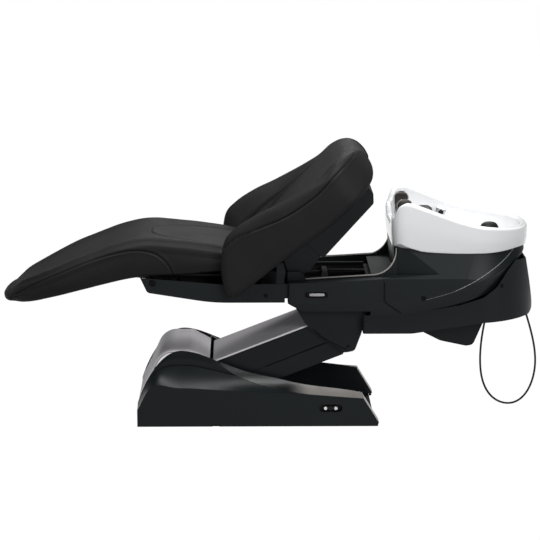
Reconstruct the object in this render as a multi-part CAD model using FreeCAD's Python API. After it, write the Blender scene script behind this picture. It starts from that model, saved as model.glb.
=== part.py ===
import FreeCAD, Part
import math
import os

# Reclining hair washing bed on a parallelogram lift, in millimetres.
# +X runs from the foot end to the basin, +Y to the occupant's right, +Z up.
# The origin is the centre of the base plate's four floor anchors, at floor level.

V = FreeCAD.Vector
AXIS_X = V(1, 0, 0)
AXIS_Y = V(0, 1, 0)
AXIS_Z = V(0, 0, 1)

# General
cut_over = 40.0
fit_gap = 0.05
seat_gap = 0.2
soft_gap = 0.5
panel_gap = 1.0
weld_lap = 1.0

# Base
base_length = 930.0
base_width = 500.0
plate_length = 900.0
plate_width = 470.0
plate_thickness = 10.0
plate_corner = 60.0
anchor_spacing_x = 740.0
anchor_spacing_y = 300.0
anchor_hole_r = 6.5
cover_gap = 3.0
cover_wall = 4.0
hood_length = 278.0
hood_width = 380.0
hood_height = 285.0
hood_edge_r = 10.0
hood_outline_shares = ((0, 0, 0), (1, 0, 0), (1, 0.865, 0), (0.75, 1, 0.21), (0.34, 1, 0.27), (0, 0.3, 0.43))
fairing_bow = 0.09
# Stations along the fairing: share of base length, outer edge and inner edge as shares of hood height
fairing_station_shares = (
    (0.0, 0.245, 0.295), (0.027, 0.414, 0.52), (0.066, 0.57, 0.744), (0.124, 0.575, 0.947),
    (0.234, 0.544, 0.989), (0.327, 0.523, 0.874), (0.427, 0.505, 0.74), (0.534, 0.486, 0.65),
    (0.641, 0.467, 0.568), (0.786, 0.432, 0.492), (0.931, 0.396, 0.421), (1.0, 0.379, 0.386))
ear_end_shares = ((-0.1, -0.1), (0.99, -0.1), (0.997, 0.06), (0.931, 0.41), (0.931, 1.3), (-0.1, 1.3))
ear_trim_thickness = 1.8
ear_trim_gap = 0.3
ear_trim_front_width = 2.0
ear_trim_rear_width = 57.0
ear_trim_front_share = 0.345
ear_trim_full_share = 0.71
cable_notch_x = -163.0
cable_notch_width = 26.0
cable_notch_height = 12.0

# Foot switch
switch_x = 278.0
switch_z = 74.0
switch_length = 94.0
switch_height = 36.0
switch_depth = 20.0
switch_wall = 2.5
rocker_length = 52.0
rocker_height = 13.0
rocker_thickness = 8.0
rocker_corner_r = 3.0
rocker_hub_r = 4.0
rocker_pin_r = 2.0
rocker_pin_half = 13.0
rocker_pad_r = 6.0
rocker_pad_length = 5.0
rocker_pad_spacing = 40.0

# Lift arms
lower_pivot_x = -233.0
lower_pivot_z = 78.0
arm_length = 620.0
arm_angle = 21.3
link_offset_x = -14.0
link_offset_z = 80.0
arm_cover_half = 163.0
arm_cover_wall = 4.0
lower_beam_half_height = 24.8
lower_beam_inner = 110.0
upper_beam_half_height = 18.0
upper_beam_inner = 118.0
lower_pin_r = 12.0
upper_pin_r = 10.0
torque_tube_r = 24.0
cross_tube_r = 14.0
cross_tube_shares = (0.28, 0.72)
cross_tube_end_gap = 70.0
lower_cover_low = -28.0
lower_cover_high = 35.0
lower_cover_start = 46.0
lower_cover_rear_gap = 28.0
upper_cover_low = -43.5
upper_cover_high = 51.4
upper_cover_front_x = -175.0
upper_cover_rear_gap = 76.0
upper_cover_corner_r = 14.0
arm_top_thickness = 3.0
arm_top_lip = 6.0
horn_length = 110.0
horn_tilt = 98.5
horn_half_height = 17.0
horn_gap_half = 12.5
horn_thickness = 10.0
horn_play = 1.6

# Pivot cheeks, cylinder and power pack
cheek_inner = 168.0
cheek_thickness = 10.0
cheek_foot_length = 170.0
cheek_top_r = 30.0
cheek_corner_r = 28.0
cheek_shoulder = 10.0
cheek_shoulder_r = 60.0
pin_inner = 122.0
cylinder_tail_x = -380.0
cylinder_pin_r = 8.0
tail_lug_r = 15.0
tail_lug_half = 12.0
barrel_start_x = -356.0
barrel_end_x = -290.0
barrel_r = 24.0
barrel_bore_r = 18.0
barrel_end_wall = 6.0
gland_length = 10.0
rod_r = 10.0
piston_length = 9.0
rod_eye_r = 15.0
post_thickness = 10.0
post_foot_length = 84.0
post_corner_r = 14.0
pack_x = -448.0
pack_length = 120.0
pack_width = 105.0
pack_height = 100.0
pack_side_y = 50.0
pack_motor_r = 32.0

# Bed frame, laid out about its own lift pivot
bed_pivot_x = 344.65
bed_pivot_z = 303.22
rail_front_x = 112.0
rail_seam_x = 475.0
seam_step_x = 73.0
seam_step_z = 4.0
tub_rear_x = 1033.0
rail_half = 258.0
rail_draft = 2.0
skirt_half = 222.0
rail_corner_r = 12.0
tub_rear_r = 240.0
rail_bottom_z = 490.0
rail_top_z = 566.0
rail_wall = 4.0
band_drop = 57.0
crease_rise = 172.0
band_rise = 150.0
rise_start_x = 430.0
ledge_rise = 38.0
ledge_end_x = 740.0
ledge_knot_shares = (0.32, 0.57)
channel_half = 195.0
flange_thickness = 8.0
flange_height = 6.0
flange_nose_length = 48.0
flange_nose_height = 34.0
flange_ramp_length = 71.0
flange_root = 20.0
hull_floor_z = 300.0
hull_top_lead = 8.0
band_front_z = 452.0
band_front_x = 428.0
band_chamfer = 58.0
band_step = 2.0
tub_top_z = 692.0
tub_top_half = 215.0
tub_top_rear_x = 1025.0
column_front_x = 526.0
column_half = 205.0
column_draft = 4.0
column_front_r = 26.0
column_shoulder_r = 160.0
column_side_over = 6.0
column_rear_over = 40.0
column_top_front_x = 514.0
sweep_r = 92.0
trim_thickness = 2.5
tongue_reach = 14.0
tongue_half = 240.0
tongue_low_z = 506.0

# Chassis
chassis_front_x = -310.0
chassis_rear_x = 935.0
chassis_low_z = 530.0
chassis_height = 26.0
chassis_inner = 120.0
chassis_width = 40.0
chassis_wall = 3.0
cross_member_positions = (-300.0, 262.0, 430.0, 690.0, 925.0)
outrigger_positions = (150.0, 410.0, 500.0)
cross_member_width = 20.0
rod_passage_gap = 2.0
slide_rail_height = 12.0
slide_rail_width = 18.0
slide_rail_rear_x = 420.0
bracket_length = 312.0
bracket_height = 165.0
bracket_cover_inner = 173.4
bracket_cover_outer = 181.0
bracket_plate_inner = 165.4
bracket_plate_outer = 173.4
bracket_cover_shares = (
    (0.08, 1.12, 0.03), (0.237, 0.62, 0.9), (0.7, 0.01, 0.12), (0.82, 0.055, 0.12), (0.9, 0.467, 0.1),
    (0.995, 1.12, 0.03))
bracket_plate_shares = ((0.2, 1.6, 0), (0.26, 0.72, 0.3), (0.68, 0.04, 0.1), (0.8, 0.09, 0.1),
                        (0.86, 1.6, 0))
bracket_pivot_share_x = 0.734
bracket_pivot_share_z = 0.17

# Skirt and drain lobe
skirt_front_x = 401.0
skirt_rear_x = 1071.0
skirt_top_z = 640.0
skirt_low_z = 361.0
skirt_rear_r = 216.0
skirt_wall = 4.0
skirt_side_gap = 1.0
skirt_front_r = 8.0
skirt_low_shares = (
    (0, 0, 0), (0.28, 0, 0.5), (0.69, 0.147, 0.3), (0.968, 0.185, 0.06), (1, 0.245, 0.05),
                    (0.965, 0.677, 0.2))
skirt_top_shares = (
    (0.937, 1, 0), (0.871, 1, 0), (0.82, 0.857, 0.2), (0.76, 0.64, 0.3), (0.684, 0.5, 0.3),
                    (0.555, 0.4, 0.3),
    (0.4, 0.337, 0), (0.216, 0.294, 0), (0, 0.258, 0))
lobe_front_x = 596.0
lobe_rear_x = 874.0
lobe_low_z = 284.0
lobe_top_z = 410.0
lobe_half = 105.0
lobe_shares = ((0, 0.62, 0), (0.4, 0.17, 0.6), (0.76, 0, 0.3), (0.86, 0.03, 0.2), (1, 0.76, 0), (1, 1, 0),
               (0, 1, 0))

# Basin
basin_front_x = 508.0
basin_rear_x = 1043.0
basin_half = 226.0
basin_low_z = 692.0
basin_high_z = 866.0
basin_blank_z = 900.0
basin_front_r = 70.0
basin_rear_r = 205.0
basin_foot_inset = 8.0
basin_wall = 20.0
basin_draft = 2.0
basin_least_r = 20.0
bowl_floor_z = 606.0
bowl_shell = 12.0
bowl_front_x = 640.0
bowl_rear_x = 940.0
bowl_half = 130.0
bowl_r = 110.0
notch_half = 118.0
notch_low_z = 768.0
notch_r = 70.0
notch_flare = 26.0
drain_x = 800.0
drain_hole_r = 15.0
drain_pipe_r = 19.0
drain_pipe_wall = 2.5
trap_r = 38.0
trap_edge_r = 6.0
trap_clearance = 2.0
trap_low_z = 312.0
trap_high_z = 420.0
rim_shares = ((-0.05, 0.98), (0.09, 1.0), (0.23, 0.885), (0.42, 0.655), (0.6, 0.49), (0.78, 0.425),
              (1.05, 0.41))

# Basin fittings
neck_rest_front_x = 514.0
neck_rest_length = 70.0
neck_rest_thickness = 26.0
neck_rest_lobe_top = 858.0
neck_rest_flare = 18.0
neck_rest_play = 2.0
neck_rest_tip_r = 14.0
neck_rest_inner_r = 12.0
head_pad_x = 648.0
head_pad_z = 800.0
head_pad_length = 62.0
head_pad_height = 34.0
head_pad_half = 62.0
head_pad_low_r = 12.0
head_pad_rear_r = 14.0
head_pad_crown_r = 30.0
head_pad_front_r = 10.0
head_arm_width = 30.0
head_arm_thickness = 8.0
head_arm_bend_r = 12.0
mixer_x = 722.0
mixer_y = 150.0
mixer_base_z = 742.0
mixer_r = 21.0
mixer_height = 30.0
mixer_spindle_r = 7.0
lever_length = 62.0
lever_width = 17.0
lever_thickness = 7.0
shower_x = 902.0
shower_z = 738.0
shower_r = 36.0
shower_height = 26.0
shower_stem_r = 12.0
shower_stem_length = 40.0
holder_r = 20.0
holder_height = 24.0

# Seat slide and seat
seat_front_x = -446.0
seat_rear_x = 101.0
seat_half = 255.0
undercover_top_z = 588.0
undercover_low_z = 492.0
undercover_wall = 4.0
undercover_floor_start = 60.0
undercover_shares = ((0, 1.0, 0), (0.047, 0.41, 0.2), (0.5, 0.0, 8.0), (1, 0, 0.03), (1, 0.76, 0.03),
                     (0.57, 0.73, 0.5))
knee_x = -425.0
knee_z = 576.0
knee_drum_r = 160.0
knee_drop_x = 70.0
knee_mouth_length = 20.0
knee_mouth_drop = 22.0
knee_mouth_gap = 3.0
knee_shaft_r = 8.0
runner_front_x = -300.0
runner_rear_x = 168.0
runner_half_width = 15.0
runner_top_z = 589.0
runner_lap = 2.0
seat_outrigger_positions = (-350.0, 20.0)
seat_outrigger_width = 20.0
seat_outrigger_height = 6.0
seat_bridge_thickness = 4.0
seat_pan_thickness = 6.0
seat_pan_half = 215.0
seat_pan_rear_x = -90.0
seat_pan_front_gap = 34.0
seat_pan_corner_r = 30.0
back_pivot_x = 150.0
back_pivot_z = 580.0
back_pin_r = 9.0
back_ear_r = 20.0
back_ear_inner = 156.0
back_ear_thickness = 10.0
gearmotor_r = 14.0
gearmotor_half = 70.0
gearmotor_saddle_length = 42.0
knee_ear_thickness = 10.0
knee_ear_r = 14.0

# Actuators of the carriage
horn_drop = 60.0
horn_angle = 289.0
recline_barrel_front_x = -95.0
recline_barrel_rear_x = 52.0
recline_barrel_r = 13.0
recline_rod_r = 6.0
recline_pin_r = 5.0
recline_play = 3.8
recline_slot_gap = 0.7
recline_end_wall = 12.0
recline_rod_start = 55.0
recline_eye_half = 8.0
recline_eye_lap = 4.0
recline_pin_half = 19.0
recline_lug_thickness = 10.0
recline_lug_half = 12.0
slide_barrel_front_x = 275.0
slide_barrel_rear_x = 500.0
slide_barrel_y = 70.0
slide_barrel_r = 11.0
slide_rod_r = 6.0
slide_rod_front_x = 96.0
slide_rod_rear_x = 470.0
slide_end_wall = 12.0
slide_lug_half = 10.0

# Cushions: half width, edge roll and crown
seat_cushion_half = 240.0
seat_cushion_low_z = 595.0
seat_cushion_rear_x = -82.0
cushion_roll = 26.0
cushion_crown = 7.0
cushion_pull = 5.0
leg_tip_x = -988.0
leg_tip_half = 170.0
leg_board_thickness = 8.0
leg_board_half = 165.0
leg_board_start_x = -452.0
leg_board_end_x = -850.0
leg_board_start_share = 0.42
leg_board_end_share = 0.06
leg_board_edge_r = 2.0
leg_arm_reach = 60.0
leg_arm_top_reach = 50.0
leg_arm_low_r = 6.0
leg_arm_knee_r = 12.0
# Stations of the leg cushion: share of length from the knee, underside and top edge as shares of leg_rise
leg_rise = 246.0
leg_station_shares = (
    (1.0, 0.11, 0.17), (0.95, 0.035, 0.24), (0.8, 0.045, 0.39), (0.55, 0.155, 0.63), (0.28, 0.3, 0.86),
    (0.04, 0.43, 1.0), (-0.28, 0.435, 0.99))
seat_station_shares = ((0.0, 1.0), (0.3, 1.0), (0.6, 0.93), (0.88, 0.8), (1.0, 0.62))

# Back rest
back_angle = 48.0
sleeve_half = 180.0
shell_half = 185.0
back_wall = 4.0
back_tube_low = 4.0
back_tube_high = 28.0
back_tube_r = 2.0
back_cross_low = 6.0
back_cross_high = 144.0
lever_inner = 9.0
lever_outer = 18.0
lever_half = 9.0
lever_end = 12.0
lever_root_r = 6.0
lever_end_r = 8.0
lever_neck_r = 4.0
lever_neck_turn = 7.0
sleeve_mouth_end = 78.0
sleeve_step = 6.0
sleeve_shares = ((-0.12, 0.76, 0), (0.38, -0.03, 0.1), (0.996, 0.1, 0), (0.996, 1.6, 0), (0.3, 2.2, 0))
shell_start = 118.0
shell_end = 432.0
shell_low = -27.0
shell_high = 40.0
shell_wall_high = 100.0
shell_edge_r = 3.0
shell_bevel = 30.0
shell_rear_r = 16.0
shell_top_r = 20.0
shell_draft = 2.0
back_board_thickness = 10.0
board_edge_r = 3.0
board_front_x = -70.0
board_front_z = 547.0
board_rear_x = 348.0
board_rear_z = 866.0
board_half = 236.0
board_mouth_x = 30.0
board_mouth_half = 176.0
back_cushion_half = 241.0
back_edge_insets = (10.0, 4.0, 0.5)
back_cushion_shares = (
    (0.03, 0.07, 0.04), (0.81, 0.585, 0.3), (1.0, 0.79, 0.18), (0.952, 0.965, 0.09), (0.768, 1.04, 0.13),
    (0.532, 0.727, 0.5), (0.0, 0.2, 0.08))
back_cushion_x = -66.0
back_cushion_z = 568.0
back_cushion_length = 500.0
back_cushion_height = 512.0
wing_x = -140.0
wing_z = 517.0
wing_length = 577.0
wing_height = 570.0
wing_inner = 241.0
wing_skirt_inner = 257.0
wing_skirt_z = 597.0
wing_outer = 308.0
wing_roll = 22.0
wing_middle_shift = 6.0
wing_inner_roll = 4.0
wing_insets = (12.0, 5.0, 0.5, 0.0, 5.0, 8.0)
wing_shares = (
    (0.035, -0.01, 0.06), (0.84, 0.61, 0.3), (1.02, 0.82, 0.15), (0.912, 1.035, 0.09), (0.68, 0.775, 0.5),
    (0.118, 0.505, 0.28), (-0.008, 0.26, 0.25))
strap_top_x = 84.0
strap_width = 30.0
strap_thickness = 8.0
strap_outer = 251.0
strap_shares = ((0.0, 1.0, 0), (0.05, 0.58, 0.2), (0.0, 0.2, 0.1), (0.0, 0.0, 0.06), (1.0, 0.0, 0.06),
                (1.0, 0.2, 0.1), (1.15, 0.58, 0.2), (0.9, 1.0, 0))
strap_low_z = 560.0
strap_height = 84.0

# Shower hose: slack loop under the skirt
hose_r = 4.0
hose_y = -60.0
hose_route = (
    (892, 412), (881, 352), (872, 286), (869, 214), (876, 148), (897, 96), (932, 60), (978, 44), (1022, 54),
    (1057, 88), (1079, 138), (1088, 198), (1083, 262), (1069, 324), (1053, 378), (1038, 424))


def corner_wire(corners, place):
    """Closed wire of straight sides with a tangent arc at each corner that has a radius."""
    points = [place(u, v) for u, v, r in corners]
    count = len(points)
    ends = []
    for i in range(count):
        radius = corners[i][2]
        here = points[i]
        back = points[i - 1] - here
        ahead = points[(i + 1) % count] - here
        if radius <= 0:
            ends.append((here, here, None))
            continue
        room = 0.48 * min(back.Length, ahead.Length)
        back.normalize()
        ahead.normalize()
        half = 0.5 * math.acos(max(-1.0, min(1.0, back.dot(ahead))))
        reach = min(radius / math.tan(half), room)
        radius = reach * math.tan(half)
        bisector = back + ahead
        bisector.normalize()
        middle = here + bisector * (radius / math.sin(half) - radius)
        ends.append((here + back * reach, here + ahead * reach, middle))
    edges = []
    for i in range(count):
        start, end, middle = ends[i]
        if middle is not None:
            edges.append(Part.Arc(start, middle, end).toShape())
        following = ends[(i + 1) % count][0]
        if (following - end).Length > 1e-6:
            edges.append(Part.LineSegment(end, following).toShape())
    return Part.Wire(edges)


def scaled(shares, x0, length, z0, height):
    """Corners in real sizes from a table of shares; a radius is a share of the height."""
    return [(x0 + s[0] * length, z0 + s[1] * height, (s[2] if len(s) > 2 else 0) * height) for s in shares]


def side_slab(corners, y0, y1):
    """Solid with a side view of corners, from y0 to y1."""
    wire = corner_wire(corners, lambda u, v: V(u, y0, v))
    return Part.Face(wire).extrude(V(0, y1 - y0, 0))


def plan_slab(corners, z0, z1):
    """Solid with a plan of corners, from z0 to z1."""
    wire = corner_wire(corners, lambda u, v: V(u, v, z0))
    return Part.Face(wire).extrude(V(0, 0, z1 - z0))


def end_slab(corners, x0, x1):
    """Solid with an end view of corners in Y and Z, from x0 to x1."""
    wire = corner_wire(corners, lambda u, v: V(x0, u, v))
    return Part.Face(wire).extrude(V(x1 - x0, 0, 0))


def block(x0, x1, y0, y1, z0, z1):
    return Part.makeBox(x1 - x0, y1 - y0, z1 - z0, V(x0, y0, z0))


def bar_y(x, z, r, y0, y1):
    return Part.makeCylinder(r, y1 - y0, V(x, y0, z), AXIS_Y)


def bar_x(y, z, r, x0, x1):
    return Part.makeCylinder(r, x1 - x0, V(x0, y, z), AXIS_X)


def bar_z(x, y, r, z0, z1):
    return Part.makeCylinder(r, z1 - z0, V(x, y, z0), AXIS_Z)


def mirrored(shape):
    return shape.mirror(V(0, 0, 0), AXIS_Y)


def both_sides(shape):
    return Part.makeCompound([shape, mirrored(shape)])


def joined(shapes):
    result = shapes[0]
    for other in shapes[1:]:
        result = result.fuse(other)
    return result.removeSplitter()


def plan_rounded(x0, x1, half, r_front, r_rear):
    """Plan corners of a rounded rectangle about the centre line."""
    return [(x0, -half, r_front), (x1, -half, r_rear), (x1, half, r_rear), (x0, half, r_front)]


def at_angle(shape, x, z, degrees):
    """Turn about the cross axis, positive from +X towards +Z, then move to x, z."""
    turned = shape.copy()
    turned.rotate(V(0, 0, 0), AXIS_Y, -degrees)
    turned.translate(V(x, 0, z))
    return turned


def stadium(s0, s1, half):
    """Side view of a bar with round ends centred on s0 and s1."""
    return [(s0 - half, -half, half), (s1 + half, -half, half), (s1 + half, half, half),
            (s0 - half, half, half)]


nodes = {}

# Pivot places at rest
upper_pivot_x = lower_pivot_x + arm_length * math.cos(math.radians(arm_angle))
upper_pivot_z = lower_pivot_z + arm_length * math.sin(math.radians(arm_angle))
link_low_x = lower_pivot_x + link_offset_x
link_low_z = lower_pivot_z + link_offset_z
link_high_x = upper_pivot_x + link_offset_x
link_high_z = upper_pivot_z + link_offset_z
horn_x = lower_pivot_x + horn_length * math.cos(math.radians(horn_tilt))
horn_z = lower_pivot_z + horn_length * math.sin(math.radians(horn_tilt))
base_front_x = -base_length / 2


# Base plate with four floor anchor holes
def make_base_plate():
    plate = plan_slab(plan_rounded(-plate_length / 2, plate_length / 2, plate_width / 2, plate_corner,
                                   plate_corner),
                      0, plate_thickness)
    for sx in (-1, 1):
        for sy in (-1, 1):
            hole = bar_z(sx * anchor_spacing_x / 2, sy * anchor_spacing_y / 2, anchor_hole_r, -cut_over,
                         plate_thickness + cut_over)
            plate = plate.cut(hole)
    return plate


def plate_space():
    """Box around the plate, which the covers stand on or reach past."""
    x = plate_length / 2 + panel_gap
    y = plate_width / 2 + panel_gap
    return block(-x, x, -y, y, -cut_over, plate_thickness)


# Grey centre hood, open below and towards the arms
def make_hood():
    half = hood_width / 2
    height = hood_height - cover_gap
    outer = side_slab(scaled(hood_outline_shares, base_front_x, hood_length, cover_gap, height), -half, half)
    lengthways = [e for e in outer.Edges if abs(abs(e.CenterOfMass.y) - half) < fit_gap
                  and e.BoundBox.ZMin > cover_gap + hood_edge_r]
    outer = outer.makeFillet(hood_edge_r, lengthways)
    inner = side_slab(scaled(hood_outline_shares, base_front_x + cover_wall, hood_length,
                             cover_gap - cut_over,
                             height - cover_wall + cut_over), -half + cover_wall, half - cover_wall)
    return outer.cut(inner).cut(plate_space())


# Side fairing as a loft of end sections with a hollow upper edge
def fairing_form(inset, raise_top):
    inner_y = hood_width / 2 + inset
    outer_y = base_width / 2 - inset
    low = cover_gap if inset == 0 else cover_gap - cut_over
    wires = []
    for along, outer_share, inner_share in fairing_station_shares:
        x = base_front_x + along * base_length
        z_outer = outer_share * hood_height - inset + raise_top
        z_inner = inner_share * hood_height - inset + raise_top
        a = V(x, -outer_y, z_outer)
        b = V(x, -inner_y, z_inner)
        chord = b - a
        middle = (a + b) * 0.5 - V(0, chord.z, -chord.y) * -fairing_bow
        if middle.z > (a.z + b.z) / 2:
            middle = (a + b) * 0.5 + V(0, chord.z, -chord.y) * -fairing_bow
        low_outer = V(x, -outer_y, low)
        low_inner = V(x, -inner_y, low)
        wires.append(Part.Wire([
            Part.LineSegment(low_inner, low_outer).toShape(), Part.LineSegment(low_outer, a).toShape(),
            Part.Arc(a, middle, b).toShape(), Part.LineSegment(b, low_inner).toShape()]))
    return Part.makeLoft(wires, True, False)


def ear_end(shift):
    corners = scaled(ear_end_shares, base_front_x + shift, base_length, 0, hood_height)
    return side_slab(corners, -base_width, 0)


def make_fairing():
    outer = fairing_form(0, 0).common(ear_end(0))
    inner = fairing_form(cover_wall, 0).common(ear_end(-cover_wall))
    return outer.cut(inner).cut(plate_space())


def make_ear_trim():
    skin = fairing_form(0, ear_trim_thickness).common(ear_end(ear_trim_thickness))
    skin = skin.cut(fairing_form(0, ear_trim_gap).common(ear_end(ear_trim_gap)))
    x0 = base_front_x + ear_trim_front_share * base_length
    x1 = base_front_x + base_length + cut_over
    edge = hood_width / 2
    x_full = base_front_x + ear_trim_full_share * base_length
    band = plan_slab([(x0, -edge - ear_trim_front_width, 0), (x_full, -edge - ear_trim_rear_width, 0),
                      (x1, -edge - ear_trim_rear_width, 0), (x1, -edge, 0), (x0, -edge, 0)],
                     plate_thickness + cover_gap, hood_height)
    return skin.common(band)


def make_left_fairing():
    fairing = make_fairing()
    notch = block(cable_notch_x - cable_notch_width / 2, cable_notch_x + cable_notch_width / 2,
                  -base_width / 2 - cut_over, -base_width / 2 + 2 * cover_wall, 0, cable_notch_height)
    pocket = side_slab(stadium_z(switch_length, switch_height), -base_width / 2 - cut_over,
                       -base_width / 2 + 2 * cover_wall)
    return fairing.cut(notch).cut(pocket)


def stadium_z(length, height):
    half = length / 2 - height / 2
    return [(switch_x + u, switch_z + v, r) for u, v, r in stadium(-half, half, height / 2)]


# Foot switch: a cup in the left fairing with a rocking bar and two bright pads
def make_switch_housing():
    face_y = -base_width / 2
    cup = side_slab(stadium_z(switch_length - seat_gap, switch_height - seat_gap), face_y,
                    face_y + switch_depth)
    inner = side_slab(stadium_z(switch_length - 2 * switch_wall, switch_height - 2 * switch_wall),
                      face_y - cut_over, face_y + switch_depth - switch_wall)
    lugs = []
    y = face_y + rocker_thickness + rocker_hub_r
    for side in (-1, 1):
        near = switch_z + side * (rocker_height / 2 + panel_gap)
        far = switch_z + side * (switch_height / 2 - switch_wall / 2)
        lug = bar_z(switch_x, y, rocker_hub_r, min(near, far), max(near, far))
        pin = bar_z(switch_x, y, rocker_pin_r + fit_gap, min(near, far) - panel_gap,
                    switch_z + side * rocker_pin_half)
        if side < 0:
            pin = bar_z(switch_x, y, rocker_pin_r + fit_gap, switch_z - rocker_pin_half,
                        max(near, far) + panel_gap)
        lugs.append(lug.cut(pin))
    return joined([cup.cut(inner)] + lugs)


def make_switch_rocker():
    face_y = -base_width / 2
    y = face_y + rocker_thickness + rocker_hub_r
    bar = side_slab([(switch_x - rocker_length / 2, switch_z - rocker_height / 2, rocker_corner_r),
                     (switch_x + rocker_length / 2, switch_z - rocker_height / 2, rocker_corner_r),
                     (switch_x + rocker_length / 2, switch_z + rocker_height / 2, rocker_corner_r),
                     (switch_x - rocker_length / 2, switch_z + rocker_height / 2, rocker_corner_r)],
                    face_y + rocker_pad_length, face_y + rocker_pad_length + rocker_thickness)
    hub = bar_z(switch_x, y, rocker_hub_r, switch_z - rocker_height / 2, switch_z + rocker_height / 2)
    pin = bar_z(switch_x, y, rocker_pin_r, switch_z - rocker_pin_half + fit_gap,
                switch_z + rocker_pin_half - fit_gap)
    return joined([bar, hub, pin])


def make_switch_pads():
    face_y = -base_width / 2
    pads = []
    for side in (-1, 1):
        pads.append(bar_y(switch_x + side * rocker_pad_spacing / 2, switch_z, rocker_pad_r,
                          face_y - seat_gap,
                          face_y + rocker_pad_length))
    return Part.makeCompound(pads)


# Pivot cheeks stand on the base plate either side of the arms
def make_cheeks():
    outline = [(lower_pivot_x - cheek_foot_length / 2, plate_thickness, 0),
               (lower_pivot_x + cheek_foot_length / 2, plate_thickness, 0),
               (lower_pivot_x + cheek_top_r + cheek_shoulder, link_low_z, cheek_shoulder_r),
               (link_low_x + cheek_top_r, link_low_z + cheek_top_r, cheek_corner_r),
               (link_low_x - cheek_top_r, link_low_z + cheek_top_r, cheek_corner_r)]
    cheek = side_slab(outline, -cheek_inner - cheek_thickness, -cheek_inner)
    foot = block(lower_pivot_x - cheek_foot_length / 2, lower_pivot_x + cheek_foot_length / 2,
                 -cheek_inner, -cheek_inner + 3 * cheek_thickness, plate_thickness,
                 plate_thickness + cheek_thickness)
    cheek = joined([cheek, foot])
    for x, z, r in ((lower_pivot_x, lower_pivot_z, lower_pin_r), (link_low_x, link_low_z, upper_pin_r)):
        cheek = cheek.cut(bar_y(x, z, r, -base_width, 0))
    return both_sides(cheek)


def pivot_pin(x, z, r, outer):
    """Pin from the plate's outer face into the arm, with a head that closes it."""
    shank = bar_y(x, z, r, -outer, -pin_inner)
    head = bar_y(x, z, r * 1.4, -outer - cheek_thickness / 2, -outer)
    return joined([shank, head])


def make_pins(low):
    if low:
        places = ((lower_pivot_x, lower_pivot_z, lower_pin_r), (link_low_x, link_low_z, upper_pin_r))
        outer = cheek_inner + cheek_thickness
    else:
        places = ((upper_pivot_x, upper_pivot_z, lower_pin_r), (link_high_x, link_high_z, upper_pin_r))
        outer = bracket_plate_outer
    pins = []
    for x, z, r in places:
        if low:
            pin = pivot_pin(x, z, r, outer)
        else:
            pin = bar_y(x, z, r, -outer, -pin_inner)
        pins += [pin, mirrored(pin)]
    return Part.makeCompound(pins)


# Lift cylinder under the hood, its post and the power pack beside it
def make_cylinder_post():
    outline = [(cylinder_tail_x - post_foot_length / 2, plate_thickness, 0),
               (cylinder_tail_x + post_foot_length / 2, plate_thickness, 0),
               (cylinder_tail_x + tail_lug_r, horn_z + tail_lug_r, post_corner_r),
               (cylinder_tail_x - tail_lug_r, horn_z + tail_lug_r, post_corner_r)]
    plate = side_slab(outline, -tail_lug_half - seat_gap - post_thickness, -tail_lug_half - seat_gap)
    plate = plate.cut(bar_y(cylinder_tail_x, horn_z, cylinder_pin_r, -base_width, 0))
    tie = block(cylinder_tail_x - post_foot_length / 2, cylinder_tail_x + post_foot_length / 2,
                -tail_lug_half - seat_gap, tail_lug_half + seat_gap, plate_thickness, 2 * plate_thickness)
    return joined([plate, mirrored(plate), tie])


def make_lift_cylinder():
    barrel = bar_x(0, horn_z, barrel_r, barrel_start_x, barrel_end_x)
    lug = block(cylinder_tail_x, barrel_start_x + weld_lap, -tail_lug_half, tail_lug_half,
                horn_z - tail_lug_r,
                horn_z + tail_lug_r)
    eye = bar_y(cylinder_tail_x, horn_z, tail_lug_r, -tail_lug_half, tail_lug_half)
    pin_half = tail_lug_half + seat_gap + post_thickness
    pin = bar_y(cylinder_tail_x, horn_z, cylinder_pin_r, -pin_half, pin_half)
    solid = joined([barrel, lug, eye, pin])
    chamber = bar_x(0, horn_z, barrel_bore_r, barrel_start_x + barrel_end_wall, barrel_end_x - gland_length)
    gland = bar_x(0, horn_z, rod_r + fit_gap, barrel_start_x + barrel_end_wall, barrel_end_x + cut_over)
    return solid.cut(chamber).cut(gland)


def make_lift_rod():
    start = barrel_start_x + barrel_end_wall + seat_gap
    rod = bar_x(0, horn_z, rod_r, start, horn_x)
    piston = bar_x(0, horn_z, barrel_bore_r - fit_gap, start, start + piston_length)
    eye = bar_y(horn_x, horn_z, rod_eye_r, -tail_lug_half, tail_lug_half)
    outer = horn_gap_half + horn_thickness
    pin = bar_y(horn_x, horn_z, cylinder_pin_r, -outer, outer)
    return joined([rod, piston, eye, pin])


def make_power_pack():
    x1 = pack_x + pack_length
    tank = block(pack_x, x1, pack_side_y, pack_side_y + pack_width, plate_thickness,
                 plate_thickness + pack_height * 0.55)
    motor = bar_x(pack_side_y + pack_width / 2, plate_thickness + pack_height * 0.55 + pack_motor_r * 0.7,
                  pack_motor_r,
                  pack_x + pack_length * 0.25, x1)
    return joined([tank, motor])


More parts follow.
